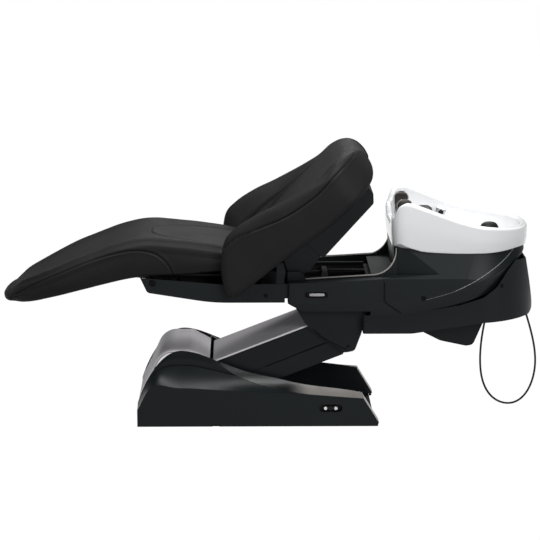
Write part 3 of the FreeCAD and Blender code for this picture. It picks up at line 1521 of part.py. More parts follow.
def make_leg_cushion():
    length = knee_x - leg_tip_x
    wires = []
    for along, low_share, top_share in leg_station_shares:
        x = knee_x - along * length
        reach = max(0.0, along)
        half = seat_cushion_half - (seat_cushion_half - leg_tip_half) * reach ** 6
        half -= cushion_pull * math.sin(math.pi * min(1.0, reach))
        wires.append(cushion_wire(x, half, leg_low_z(low_share), leg_low_z(top_share), cushion_roll,
                                  cushion_crown))
    body = Part.makeLoft(wires, True, False)
    keep = knee_drum(0).fuse(block(leg_tip_x - cut_over, knee_x, -base_width, base_width, 0,
                                   knee_z + 2 * knee_drum_r))
    body = body.common(keep)
    low_cut = block(knee_x - cut_over, knee_x + 2 * knee_drum_r, -base_width, base_width, 0,
                    seat_cushion_low_z)
    return body.cut(low_cut).cut(nodes["leg_board"]).removeSplitter()


def make_leg_board():
    """Board under the leg cushion with two arms on the knee shaft."""
    t = leg_board_thickness
    z0 = leg_low_z(leg_board_start_share) + t
    z1 = leg_low_z(leg_board_end_share) + t
    r = leg_board_edge_r
    board = side_slab([(leg_board_start_x, z0 - t, r), (leg_board_start_x, z0, r), (leg_board_end_x, z1, r),
                       (leg_board_end_x, z1 - t, r)], -leg_board_half, leg_board_half)
    y = -chassis_inner - chassis_width / 2 - knee_ear_thickness
    arm = side_slab([(knee_x - knee_ear_r - leg_arm_reach, z0 - 2.6 * t, leg_arm_low_r),
                     (knee_x + knee_ear_r, knee_z - knee_ear_r * 0.9, leg_arm_knee_r),
                     (knee_x + knee_ear_r, knee_z + knee_ear_r * 0.9, leg_arm_knee_r),
                     (knee_x - knee_ear_r, z0 - t / 2, leg_arm_low_r),
                     (leg_board_start_x - leg_arm_top_reach, z0 - 1.2 * t, 0)],
                    y - knee_ear_thickness / 2, y + knee_ear_thickness / 2 - panel_gap)
    shaft = bar_y(knee_x, knee_z, knee_shaft_r, y - knee_ear_thickness / 2, -y + knee_ear_thickness / 2)
    return joined([board, arm, mirrored(arm), shaft])


# Back rest, drawn in its own axes (u up the back, n towards the occupant) and turned to the back angle
def back_slab(corners, y0, y1):
    return at_angle(side_slab(corners, y0, y1), back_pivot_x, back_pivot_z, back_angle)


def back_bar(u0, u1, low, high):
    """Side view of a bar of the back frame."""
    r = back_tube_r
    return [(u0, low, r), (u1, low, r), (u1, high, r), (u0, high, r)]


def make_back_frame():
    ear_y = -back_ear_inner - back_ear_thickness - seat_gap
    ear = side_slab(stadium(0, shell_start * 0.7, back_ear_r * 0.8), ear_y - back_ear_thickness * 0.8, ear_y)
    tube = side_slab(back_bar(shell_start * 0.35, shell_end * 0.86, back_tube_low, back_tube_high),
                     ear_y - back_ear_thickness * 0.8, ear_y + back_ear_thickness * 2)
    pin = bar_y(0, 0, back_pin_r, ear_y - back_ear_thickness * 0.8, -back_ear_inner + weld_lap)
    cross0 = side_slab(back_bar(shell_start * 0.55, shell_start * 0.8, back_cross_low, back_cross_high),
                       ear_y, -ear_y)
    cross1 = side_slab(back_bar(shell_end * 0.72, shell_end * 0.78, back_cross_low, back_cross_high), ear_y,
                       -ear_y)
    side = joined([ear, tube, pin])
    frame = joined([side, mirrored(side), cross0, cross1])
    frame = at_angle(frame, back_pivot_x, back_pivot_z, back_angle).cut(make_board_space(0))
    half = lever_half
    far = horn_drop + lever_end
    horn = side_slab([(-horn_drop * 0.2, -half, lever_root_r), (far, -half, lever_end_r),
                      (far, half, lever_end_r),
                      (-horn_drop * 0.2, half, lever_root_r)], lever_inner, lever_outer)
    slot_hole = side_slab(stadium(horn_drop - recline_play, horn_drop + seat_gap,
                                  recline_pin_r + recline_slot_gap), -cut_over,
                          cut_over)
    horn = horn.cut(slot_hole)
    reach = shell_start * 0.66
    neck = side_slab([(0, -half, lever_neck_r), (reach, -half, lever_neck_r), (reach, half, lever_neck_r),
                      (0, half, lever_neck_r)], lever_inner, lever_outer)
    horn = at_angle(horn, back_pivot_x, back_pivot_z, horn_angle)
    neck = at_angle(neck, back_pivot_x, back_pivot_z, back_angle + lever_neck_turn)
    lever = joined([horn, neck])
    return joined([frame, lever, mirrored(lever)]).cut(nodes["back_sleeve"])


def make_sleeve():
    length = shell_start
    height = shell_high - shell_low
    outer = back_slab(scaled(sleeve_shares, 0, length, shell_low + sleeve_step, height), -sleeve_half,
                      sleeve_half)
    inner_corners = scaled(sleeve_shares, -cut_over * 0.2, length + cut_over,
                           shell_low + sleeve_step + back_wall, height + cut_over)
    inner = back_slab(inner_corners, -sleeve_half + back_wall, sleeve_half - back_wall)
    mouth = back_slab([(-2 * shell_start, 3 * shell_low, 0), (sleeve_mouth_end, 3 * shell_low, 0),
                       (sleeve_mouth_end, 3 * shell_high, 0), (-2 * shell_start, 3 * shell_high, 0)],
                      -sleeve_half + back_wall, sleeve_half - back_wall)
    return outer.cut(inner).cut(mouth).cut(make_board_space(0))


def make_board_space(extra):
    """Everything in front of the back board's rear face."""
    slope = math.atan2(board_rear_z - board_front_z, board_rear_x - board_front_x)
    a = V(board_front_x, 0, board_front_z)
    far = 3 * base_width
    normal = V(-math.sin(slope), 0, math.cos(slope))
    along = V(math.cos(slope), 0, math.sin(slope))
    p = a - along * far - normal * extra
    q = a + along * far - normal * extra
    corners = [(p.x, p.z, 0), (q.x, q.z, 0), ((q + normal * far).x, (q + normal * far).z, 0),
               ((p + normal * far).x, (p + normal * far).z, 0)]
    return side_slab(corners, -base_width, base_width)


def make_back_shell():
    corners = [(shell_start, shell_low, shell_edge_r), (shell_end - shell_bevel, shell_low, shell_rear_r),
               (shell_end, shell_low + shell_bevel, shell_top_r), (shell_end, shell_wall_high, 0),
               (shell_start, shell_wall_high, 0)]
    outer = back_slab(corners, -shell_half, shell_half)
    bevel = shell_bevel + shell_draft
    inner_corners = [(shell_start - cut_over, shell_low + back_wall, shell_edge_r),
                     (shell_end - bevel, shell_low + back_wall, shell_rear_r - shell_draft),
                     (shell_end - back_wall, shell_low + bevel, shell_top_r - shell_draft),
                     (shell_end - back_wall, shell_wall_high + cut_over, 0),
                     (shell_start - cut_over, shell_wall_high + cut_over, 0)]
    inner = back_slab(inner_corners, -shell_half + back_wall, shell_half - back_wall)
    return outer.cut(inner).cut(make_board_space(0))


def make_back_board():
    t = back_board_thickness
    slope = math.atan2(board_rear_z - board_front_z, board_rear_x - board_front_x)
    length = math.hypot(board_rear_x - board_front_x, board_rear_z - board_front_z)
    r = board_edge_r
    board = side_slab([(0, 0, r), (length, 0, r), (length, t, r), (0, t, r)], -board_half, board_half)
    turned = at_angle(board, board_front_x, board_front_z, math.degrees(slope))
    mouth = block(board_front_x - cut_over, board_mouth_x, -board_mouth_half, board_mouth_half, 0,
                  board_rear_z)
    return turned.cut(mouth)


def pillow(corners, halves, insets):
    """Loft across the bed of one rounded outline, drawn in by the given insets."""
    wires = []
    xs = [c[0] for c in corners]
    zs = [c[1] for c in corners]
    cx = 0.5 * (min(xs) + max(xs))
    cz = 0.5 * (min(zs) + max(zs))
    width = max(xs) - min(xs)
    height = max(zs) - min(zs)
    for y, inset in zip(halves, insets):
        fx = 1 - 2 * inset / width
        fz = 1 - 2 * inset / height
        drawn = [(cx + (x - cx) * fx, cz + (z - cz) * fz, r * fz) for x, z, r in corners]
        wires.append(corner_wire(drawn, lambda u, v: V(u, y, v)))
    return Part.makeLoft(wires, True, True)


def make_back_cushion():
    corners = scaled(back_cushion_shares, back_cushion_x, back_cushion_length, back_cushion_z,
                     back_cushion_height)
    h = back_cushion_half
    halves = (-h, -h + cushion_roll * 0.4, -h + cushion_roll * 1.4, -h * 0.4, h * 0.4,
              h - cushion_roll * 1.4,
              h - cushion_roll * 0.4, h)
    swell = (-cushion_crown * 0.5, -cushion_crown * 0.5)
    insets = back_edge_insets + swell + back_edge_insets[::-1]
    body = pillow(corners, halves, insets)
    board = make_board_space(-back_board_thickness)
    return body.common(board)


def make_wing():
    corners = scaled(wing_shares, wing_x, wing_length, wing_z, wing_height)
    w0 = -wing_outer
    w1 = -wing_inner
    r = wing_roll
    halves = (w0, w0 + r * 0.3, w0 + r, 0.5 * (w0 + w1) + wing_middle_shift, w1 - wing_inner_roll, w1)
    body = pillow(corners, halves, wing_insets)
    return body.cut(block(wing_x - cut_over, wing_x + wing_length, -wing_skirt_inner, 0, 0, wing_skirt_z))


def make_straps():
    corners = [(strap_top_x - strap_width / 2 + u * strap_width, strap_low_z + v * strap_height,
                r * strap_height)
               for u, v, r in strap_shares]
    strap = side_slab(corners, -strap_outer, -strap_outer + strap_thickness)
    return strap


# Shower hose as straight runs joined by tangent arcs
def make_hose():
    points = [V(x, hose_y, z) for x, z in hose_route]
    edges = []
    start = points[0]
    radii = []
    length = 0.0
    for i in range(1, len(points) - 1):
        back = points[i - 1] - points[i]
        ahead = points[i + 1] - points[i]
        shorter = min(back.Length, ahead.Length)
        back.normalize()
        ahead.normalize()
        turn = math.pi - math.acos(back.dot(ahead))
        reach = 0.45 * shorter
        radius = reach / math.tan(turn / 2)
        bisector = back + ahead
        bisector.normalize()
        a = points[i] + back * reach
        b = points[i] + ahead * reach
        middle = points[i] + bisector * (radius / math.cos(turn / 2) - radius)
        edges.append(Part.LineSegment(start, a).toShape())
        edges.append(Part.Arc(a, middle, b).toShape())
        length += (a - start).Length + radius * turn
        radii.append(radius)
        start = b
    edges.append(Part.LineSegment(start, points[-1]).toShape())
    length += (points[-1] - start).Length
    path = Part.Wire(edges)
    circle = Part.Circle(points[0], points[1] - points[0], hose_r)
    tube = path.makePipeShell([Part.Wire([circle.toShape()])], True, False)
    print("hose radii", [round(r) for r in radii], "length", round(length))
    print("hose volume ratio", round(tube.Volume / (math.pi * hose_r ** 2 * length), 4))
    return tube


# Nodes that stand on the floor or swing on the base; all the others are laid out about the bed's pivot
base_nodes = (
    "base_plate", "base_hood", "side_fairing_left", "side_fairing_right", "ear_trims", "switch_housing",
    "switch_rocker", "switch_pads", "pivot_cheeks", "lower_pivot_pins", "cylinder_post", "lift_cylinder",
              "lift_rod",
    "power_pack", "lower_arm", "lower_arm_cover", "upper_arm", "upper_arm_sides", "arm_top_cover",
              "upper_pivot_pins")


def hang_bed():
    """Carry the bed to where the arms hold its pivot."""
    carry = V(upper_pivot_x - bed_pivot_x, 0, upper_pivot_z - bed_pivot_z)
    for name, shape in nodes.items():
        if name not in base_nodes:
            shape.translate(carry)


def build():
    nodes["base_plate"] = make_base_plate()
    nodes["base_hood"] = make_hood()
    nodes["side_fairing_left"] = make_left_fairing()
    nodes["side_fairing_right"] = mirrored(make_fairing())
    nodes["ear_trims"] = both_sides(make_ear_trim())
    nodes["switch_housing"] = make_switch_housing()
    nodes["switch_rocker"] = make_switch_rocker()
    nodes["switch_pads"] = make_switch_pads()
    nodes["pivot_cheeks"] = make_cheeks()
    nodes["lower_pivot_pins"] = make_pins(True)
    nodes["cylinder_post"] = make_cylinder_post()
    nodes["lift_cylinder"] = make_lift_cylinder()
    nodes["lift_rod"] = make_lift_rod()
    nodes["power_pack"] = make_power_pack()
    nodes["lower_arm"] = make_lower_arm()
    nodes["lower_arm_cover"] = make_lower_cover()
    nodes["upper_arm"] = make_upper_arm()
    nodes["upper_arm_sides"] = make_upper_sides()
    nodes["arm_top_cover"] = make_arm_top()
    nodes["upper_pivot_pins"] = make_pins(False)
    nodes["frame_brackets"] = make_bracket_plates()
    nodes["bracket_covers"] = both_sides(make_bracket_cover())
    nodes["chassis_rails"] = make_chassis_rails()
    nodes["chassis_cross_members"] = make_cross_members()
    nodes["slide_rails"] = make_slide_rails()
    left, tub, trim = make_shells()
    nodes["rail_cover_left"] = left
    nodes["rail_cover_right"] = mirrored(left)
    nodes["tub_shell"] = tub
    nodes["rail_trims"] = both_sides(trim)
    nodes["shower_hose"] = make_hose()
    skirt, skirt_outer = make_skirt(hull_form(0).common(band_floor(0)))
    nodes["tub_skirt"] = skirt
    nodes["drain_lobe"] = make_lobe(skirt_outer)
    nodes["drain_pipe"] = make_drain_pipe()
    nodes["hair_trap"] = make_trap()
    nodes["basin"] = make_basin()
    nodes["neck_rest"] = make_neck_rest()
    nodes["head_pad"] = make_head_pad()
    nodes["head_pad_arm"] = make_head_arm()
    nodes["mixer_body"] = make_mixer_body()
    nodes["mixer_lever"] = make_mixer_lever()
    nodes["shower_holder"] = make_shower_holder()
    nodes["hand_shower"] = make_hand_shower()
    nodes["seat_frame"] = make_seat_frame()
    nodes["seat_undercover"] = make_undercover()
    nodes["seat_cushion"] = make_seat_cushion()
    nodes["leg_gearmotor"] = make_gearmotor()
    nodes["recline_actuator"] = make_recline_actuator()
    nodes["recline_rod"] = make_recline_rod()
    nodes["slide_actuator"] = make_slide_actuator()
    nodes["slide_rod"] = make_slide_rod()
    nodes["leg_board"] = make_leg_board()
    nodes["leg_cushion"] = make_leg_cushion()
    nodes["back_sleeve"] = make_sleeve()
    nodes["back_frame"] = make_back_frame()
    nodes["back_shell"] = make_back_shell()
    nodes["back_board"] = make_back_board()
    nodes["back_cushion"] = make_back_cushion()
    wing = make_wing()
    nodes["wing_left"] = wing
    nodes["wing_right"] = mirrored(wing)
    nodes["back_straps"] = both_sides(make_straps())
    hang_bed()


build()
os.makedirs("parts", exist_ok=True)
for name, shape in nodes.items():
    if not shape.isValid() or shape.Volume <= 0 or not shape.Solids:
        print("check", name, shape.isValid(), round(shape.Volume), len(shape.Solids))
    shape.exportStep("parts/" + name + ".step")
print("nodes", len(nodes))
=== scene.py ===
"""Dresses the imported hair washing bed: upholstery, basin, fittings, cover details, finishes and studio."""

import math

import bpy
import numpy as np
from bpy.props import FloatProperty, FloatVectorProperty, PointerProperty
from bpy.types import Operator, Panel, PropertyGroup
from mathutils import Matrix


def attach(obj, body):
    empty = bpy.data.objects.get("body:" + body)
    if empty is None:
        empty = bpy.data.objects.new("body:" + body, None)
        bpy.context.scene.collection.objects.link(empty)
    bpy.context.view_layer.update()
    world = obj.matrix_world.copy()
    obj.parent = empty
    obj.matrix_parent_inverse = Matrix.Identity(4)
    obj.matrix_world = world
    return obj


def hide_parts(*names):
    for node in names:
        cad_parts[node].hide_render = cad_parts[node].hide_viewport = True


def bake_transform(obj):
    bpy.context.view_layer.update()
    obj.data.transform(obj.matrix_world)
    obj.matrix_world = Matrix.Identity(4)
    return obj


bl_info = {
    "name": "Hair Washing Bed",
    "version": (1, 0, 0),
    "blender": (4, 5, 0),
    "location": "View3D > Sidebar > Wash Bed",
    "description": "Upholstery, basin, fittings and finishes for a reclining hair washing bed",
    "category": "Add Mesh",
}

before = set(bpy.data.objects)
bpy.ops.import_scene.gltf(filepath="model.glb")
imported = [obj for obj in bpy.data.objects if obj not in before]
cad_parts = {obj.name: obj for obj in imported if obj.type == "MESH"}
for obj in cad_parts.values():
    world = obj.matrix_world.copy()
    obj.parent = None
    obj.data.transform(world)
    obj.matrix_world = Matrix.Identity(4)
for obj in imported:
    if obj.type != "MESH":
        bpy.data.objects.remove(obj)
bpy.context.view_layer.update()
MM = 0.001
SIDES = (-1, 1)


class BedSizes(PropertyGroup):
    """Sizes that a user would change."""

    seat_half: FloatProperty(
        name="Seat half width", description="Half the width of the seat cushion", default=0.241, unit="LENGTH")
    seat_roll: FloatProperty(
        name="Seat roll", description="Width of the rounded upper edge of the seat", default=0.036,
        unit="LENGTH")
    wing_outer: FloatProperty(
        name="Wing half width", description="Half the width over the wings", default=0.306, unit="LENGTH")
    wing_roll: FloatProperty(
        name="Wing roll", description="Radius of the wings' outer edges", default=0.020, unit="LENGTH")
    seam_depth: FloatProperty(
        name="Seam depth", description="Depth of the sewn channels", default=0.0032, unit="LENGTH")
    seam_width: FloatProperty(
        name="Seam width", description="Width of the sewn channels", default=0.0034, unit="LENGTH")
    rim_round: FloatProperty(
        name="Rim radius", description="Rounding of the basin's rim", default=0.011, unit="LENGTH")
    hose_diameter: FloatProperty(
        name="Hose diameter", description="Diameter of the shower hose", default=0.008, unit="LENGTH")


class BedColours(PropertyGroup):
    """Colours that a user would change."""

    hide: FloatVectorProperty(
        name="Hide", description="Colour of the upholstery", subtype="COLOR", default=(0.0092, 0.0092, 0.0093))
    cover: FloatVectorProperty(
        name="Covers", description="Colour of the moulded covers", subtype="COLOR",
        default=(0.0060, 0.0080, 0.0090))
    hood: FloatVectorProperty(
        name="Hood", description="Colour of the painted hood", subtype="COLOR", default=(0.800, 0.775, 0.810))
    glaze: FloatVectorProperty(
        name="Glaze", description="Colour of the basin", subtype="COLOR", default=(0.655, 0.663, 0.675))


# Curves and closed surfaces

def smooth_step(x, low, high):
    """0 below low, 1 above high, and 3t^2 - 2t^3 between, with t the share of the way."""
    t = np.clip((x - low) / (high - low), 0, 1)
    return t * t * (3 - 2 * t)


def loop_through(points, per):
    """Closed smooth curve through points (n, 2), per samples in each span: cubic Hermite spans whose tangents
    weigh the slopes on both sides by the lengths of the spans."""
    p = np.asarray(points, float)
    before = np.roll(p, 1, axis=0)
    after = np.roll(p, -1, axis=0)
    beyond = np.roll(p, -2, axis=0)
    d1 = np.linalg.norm(p - before, axis=1)[:, None]
    d2 = np.linalg.norm(after - p, axis=1)[:, None]
    d3 = np.linalg.norm(beyond - after, axis=1)[:, None]
    leave = ((p - before) / d1 * d2 + (after - p) / d2 * d1) / (d1 + d2) * d2
    arrive = ((after - p) / d2 * d3 + (beyond - after) / d3 * d2) / (d2 + d3) * d2
    t = (np.arange(per) / per)[None, :, None]
    a, b, m1, m2 = (x[:, None] for x in (p, after, leave, arrive))
    curve = ((2 * t**3 - 3 * t**2 + 1) * a + (t**3 - 2 * t**2 + t) * m1
             + (3 * t**2 - 2 * t**3) * b + (t**3 - t**2) * m2)
    return curve.reshape(-1, 2)


def line_through(points, per):
    """Open Catmull-Rom curve through points (n, d): per samples in each span and the last point."""
    p = np.asarray(points, float)
    ends = np.vstack([2 * p[0] - p[1], p, 2 * p[-1] - p[-2]])
    a, b, c, d = (x[:, None] for x in (ends[:-3], ends[1:-2], ends[2:-1], ends[3:]))
    t = (np.arange(per) / per)[None, :, None]
    curve = 0.5 * (2 * b + (c - a) * t + (2 * a - 5 * b + 4 * c - d) * t**2 + (3 * b - a - 3 * c + d) * t**3)
    return np.vstack([curve.reshape(-1, p.shape[1]), p[-1]])


def inset_loop(loop, amount):
    """Closed clockwise outline (m, 2) moved inwards along its normals by amount, one value or one per point."""
    ahead = np.roll(loop, -2, axis=0) - np.roll(loop, 2, axis=0)
    normal = np.stack([ahead[:, 1], -ahead[:, 0]], axis=1)
    normal /= np.linalg.norm(normal, axis=1)[:, None] + 1e-9
    return loop + normal * np.broadcast_to(amount, len(loop))[:, None]


def directions(path):
    """Unit vectors along a path (n, 3)."""
    ahead = np.gradient(path, axis=0)
    return ahead / np.linalg.norm(ahead, axis=1)[:, None]


def add_object(name, verts, faces, material, smooth=True):
    """Mesh object at the origin from rows of vertices and lists of corners, with one material."""
    mesh = bpy.data.meshes.new(name)
    mesh.from_pydata(np.asarray(verts).tolist(), [], faces)
    mesh.validate()
    mesh.polygons.foreach_set("use_smooth", np.full(len(mesh.polygons), smooth))
    mesh.materials.append(material)
    mesh.update()
    obj = bpy.data.objects.new(name, mesh)
    bpy.context.scene.collection.objects.link(obj)
    return obj


def ring_quads(rings, around):
    """Quads between successive closed rings of points, as index rows."""
    i, j = np.meshgrid(np.arange(rings - 1), np.arange(around), indexing="ij")
    a = i * around + j
    b = i * around + (j + 1) % around
    return np.stack([a, b, b + around, a + around], axis=-1).reshape(-1, 4)


def ringed_solid(name, rings, material, flip=False):
    """Closed body from an array of rings (k, m, 3), its two ends closed by fans to their centres."""
    rings = np.asarray(rings)
    k, m, _ = rings.shape
    verts = np.vstack([rings.reshape(-1, 3), rings[0].mean(axis=0), rings[-1].mean(axis=0)])
    this = np.arange(m)
    following = (this + 1) % m
    last = (k - 1) * m
    first_fan = np.stack([following, this, np.full(m, k * m)], axis=1)
    last_fan = np.stack([last + this, last + following, np.full(m, k * m + 1)], axis=1)
    faces = ring_quads(k, m).tolist() + first_fan.tolist() + last_fan.tolist()
    if flip:
        faces = [face[::-1] for face in faces]
    return add_object(name, verts, faces, material)


def tube_along(name, path, radius, material, sides):
    """Tube of radius along a path (n, 3): each ring is the path's point plus radius times the cosine of the
    angle along one cross vector and its sine along the other."""
    path = np.asarray(path, float)
    ahead = directions(path)
    side = np.cross(ahead, (0.0, 1.0, 0.0))
    near_parallel = np.linalg.norm(side, axis=1) < 0.2
    side[near_parallel] = np.cross(ahead[near_parallel], (0.0, 0.0, 1.0))
    side /= np.linalg.norm(side, axis=1)[:, None]
    over = np.cross(side, ahead)
    angle = np.linspace(0, 2 * math.pi, sides, endpoint=False)[None, :, None]
    rings = path[:, None] + radius * (np.cos(angle) * side[:, None] + np.sin(angle) * over[:, None])
    return ringed_solid(name, rings, material, flip=True)


def turned_rings(profile, around):
    """Rings of a profile of (radius, height) rows turned about the upright axis."""
    profile = np.asarray(profile, float)
    angle = np.linspace(0, 2 * math.pi, around, endpoint=False)
    return np.stack([profile[:, 0:1] * np.cos(angle), profile[:, 0:1] * np.sin(angle),
                     np.repeat(profile[:, 1:2], around, axis=1)], axis=-1)


def revolve(name, profile, centre, material, around=48):
    """Body turned about the upright axis through centre from a profile of (radius, height) rows."""
    rings = turned_rings(profile, around) + np.asarray(centre)
    return ringed_solid(name, rings, material, flip=profile[0][1] > profile[-1][1])


def side_cap(name, centre, radius, depth, side, material, around=36):
    """Round cap on a side wall: a shallow dome turned about the cross axis, sunk by its depth."""
    profile = ((radius, -depth), (radius, 0.0), (radius * 0.93, depth * 0.35), (radius * 0.6, depth * 0.55),
               (0.0003, depth * 0.6))
    turn = np.array([[1.0, 0, 0], [0, 0, side], [0, -side, 0]])
    return ringed_solid(name, turned_rings(profile, around) @ turn.T + np.asarray(centre), material)


def squared(value, power):
    """Sign times size to a power: draws a circle's sine or cosine towards a square."""
    return np.sign(value) * np.abs(value) ** power


def pillow(name, centre, size, material, power, rows=28, around=48, tilt=0.0):
    """Superellipsoid pad: |x/a|^p + |y/b|^p + |z/c|^p = 1, tilted about the cross axis."""
    phi = np.linspace(-math.pi / 2, math.pi / 2, rows)[1:-1]
    theta = np.linspace(0, 2 * math.pi, around, endpoint=False)
    level = squared(np.cos(phi), 2 / power)[:, None]
    x = level * squared(np.cos(theta), 2 / power)[None] * size[0]
    y = level * squared(np.sin(theta), 2 / power)[None] * size[1]
    z = np.repeat(squared(np.sin(phi), 2 / power)[:, None], around, axis=1) * size[2]
    c, s = math.cos(tilt), math.sin(tilt)
    rings = np.stack([c * x + s * z, y, -s * x + c * z], axis=-1) + np.asarray(centre)
    return ringed_solid(name, rings, material)


def rounded_plan(x0, x1, half, r_front, r_rear, count):
    """Closed plan outline of a rounded rectangle: count points evenly spaced from the middle of the front."""
    def arc(cx, cy, r, start):
        a = np.linspace(start, start + 0.5 * math.pi, 40)
        return np.stack([cx + r * np.cos(a), cy + r * np.sin(a)], axis=1)
    middle = np.array([[x0, 0.0]])
    line = np.vstack([
        middle,
        arc(x0 + r_front, -half + r_front, r_front, math.pi),
        arc(x1 - r_rear, -half + r_rear, r_rear, 1.5 * math.pi),
        arc(x1 - r_rear, half - r_rear, r_rear, 0),
        arc(x0 + r_front, half - r_front, r_front, 0.5 * math.pi),
        middle])
    place = np.concatenate([[0], np.cumsum(np.linalg.norm(np.diff(line, axis=0), axis=1))])
    even = np.linspace(0, place[-1], count, endpoint=False)
    return np.stack([np.interp(even, place, line[:, 0]), np.interp(even, place, line[:, 1])], axis=1)


# Finishes

def add_node(tree, kind, **values):
    """New node of a kind with values for its named inputs."""
    node = tree.nodes.new(kind)
    for socket, value in values.items():
        node.inputs[socket].default_value = value
    return node


def wire(tree, *rows):
    """Links an output of one node to an input of another, row by row."""
    for source, output, target, socket in rows:
        tree.links.new(source.outputs[output], target.inputs[socket])


def grain_group(name, scale_name, scale, cloud_scale, cloud_detail):
    """Start of a grain group: two scales go in, a height and a tone come out, and cloudy noise gives the tone.
    Returns the group with its input, output and coordinate nodes, to which a maker adds the height."""
    group = bpy.data.node_groups.new(name, "ShaderNodeTree")
    for socket_name, value in ((scale_name, scale), ("Cloud Scale", cloud_scale)):
        socket = group.interface.new_socket(name=socket_name, in_out="INPUT", socket_type="NodeSocketFloat")
        socket.default_value = value
    for socket_name in ("Height", "Tone"):
        group.interface.new_socket(name=socket_name, in_out="OUTPUT", socket_type="NodeSocketFloat")
    given = group.nodes.new("NodeGroupInput")
    result = group.nodes.new("NodeGroupOutput")
    place = group.nodes.new("ShaderNodeTexCoord")
    cloud = add_node(group, "ShaderNodeTexNoise", Detail=cloud_detail)
    wire(group, (place, "Object", cloud, "Vector"), (given, "Cloud Scale", cloud, "Scale"),
         (cloud, "Fac", result, "Tone"))
    return group, given, result, place


def map_range(tree, value, low, high, to_low=0.0, to_high=1.0, smooth=False):
    """Map Range node that takes value from low..high to to_low..to_high; returns its result."""
    node = tree.nodes.new("ShaderNodeMapRange")
    if smooth:
        node.interpolation_type = "SMOOTHSTEP"
    limits = {"From Min": low, "From Max": high, "To Min": to_low, "To Max": to_high}
    for socket_name, limit in limits.items():
        node.inputs[socket_name].default_value = limit
    tree.links.new(value, node.inputs["Value"])
    return node.outputs["Result"]


def mix_colours(tree, factor, first, second):
    """Mix node between two colours, each a socket or a colour; returns its result."""
    node = tree.nodes.new("ShaderNodeMix")
    node.data_type = "RGBA"
    tree.links.new(factor, node.inputs["Factor"])
    for socket_name, colour in (("A", first), ("B", second)):
        if isinstance(colour, tuple):
            node.inputs[socket_name].default_value = (*colour, 1)
        else:
            tree.links.new(colour, node.inputs[socket_name])
    return node.outputs["Result"]


def moulded_group():
    """Fine moulded grain: small noise for the height, large noise for tone and gloss."""
    group, given, result, place = grain_group("Moulded grain", "Grain Scale", 900.0, 6.0, 5.0)
    fine = add_node(group, "ShaderNodeTexNoise", Detail=3.0)
    wire(group, (place, "Object", fine, "Vector"), (given, "Grain Scale", fine, "Scale"),
         (fine, "Fac", result, "Height"))
    return group


def leather_group():
    """Leather grain: the edges of small irregular cells give creases, and noise softens them."""
    group, given, result, place = grain_group("Leather grain", "Pebble Scale", 520.0, 7.0, 6.0)
    cells = group.nodes.new("ShaderNodeTexVoronoi")
    cells.feature = "DISTANCE_TO_EDGE"
    wander = add_node(group, "ShaderNodeTexNoise", Scale=160.0, Detail=2.0)
    mix = group.nodes.new("ShaderNodeMath")
    mix.operation = "MULTIPLY_ADD"
    mix.inputs[1].default_value = 0.5
    wire(group, (place, "Object", cells, "Vector"), (place, "Object", wander, "Vector"),
         (given, "Pebble Scale", cells, "Scale"), (wander, "Fac", mix, 0), (mix, "Value", result, "Height"))
    group.links.new(map_range(group, cells.outputs["Distance"], 0.0, 0.22), mix.inputs[2])
    return group


# Painted shade that darkens the hide along its seam grooves
SEAM_PAINTED_SHADE = (0.002, 0.002, 0.002)
# Painted shadow: colour painted onto the front of the ear strip where the arm above shades it
STRIP_PAINTED_SHADOW = (0.004, 0.005, 0.0055)
COAT_ROUGHNESS = 0.06


def finish(name, group, scales, dark, light, rough, bump, metallic=0.0, coat=0.0, level=0.5, painted_seam_shade=False,
           painted_shadow_span=None):
    """Principled material whose colour and roughness drift with the group's tone and whose grain is a bump. A
    sewn hide gets painted shade along its seam grooves, and a strip with a painted shadow is painted dark before
    the first of two places along x."""
    material = bpy.data.materials.new(name)
    material.use_nodes = True
    tree = material.node_tree
    shader = tree.nodes["Principled BSDF"]
    grain = tree.nodes.new("ShaderNodeGroup")
    grain.node_tree = group
    grain.inputs[0].default_value = scales[0]
    grain.inputs[1].default_value = scales[1]
    tone = grain.outputs["Tone"]
    colour = mix_colours(tree, map_range(tree, tone, 0.35, 0.65), dark, light)
    # Painted shade: the hide is darkened along its seam grooves by the seam attribute
    if painted_seam_shade:
        seam = tree.nodes.new("ShaderNodeAttribute")
        seam.attribute_name = "seam"
        colour = mix_colours(tree, seam.outputs["Fac"], colour, SEAM_PAINTED_SHADE)
    # Painted shadow: dark before the first place along x, the strip's own colour after the second
    if painted_shadow_span:
        place = tree.nodes.new("ShaderNodeTexCoord")
        split = tree.nodes.new("ShaderNodeSeparateXYZ")
        tree.links.new(place.outputs["Object"], split.inputs["Vector"])
        out_of_painted_shadow = map_range(tree, split.outputs["X"], painted_shadow_span[0], painted_shadow_span[1], smooth=True)
        colour = mix_colours(tree, out_of_painted_shadow, STRIP_PAINTED_SHADOW, colour)
    height = add_node(tree, "ShaderNodeBump", Strength=bump[0], Distance=bump[1])
    wire(tree, (grain, "Height", height, "Height"), (height, "Normal", shader, "Normal"))
    tree.links.new(colour, shader.inputs["Base Color"])
    tree.links.new(map_range(tree, tone, 0.3, 0.7, rough[0], rough[1]), shader.inputs["Roughness"])
    shader.inputs["Metallic"].default_value = metallic
    shader.inputs["Coat Weight"].default_value = coat
    shader.inputs["Coat Roughness"].default_value = COAT_ROUGHNESS
    shader.inputs["Specular IOR Level"].default_value = level
    return material


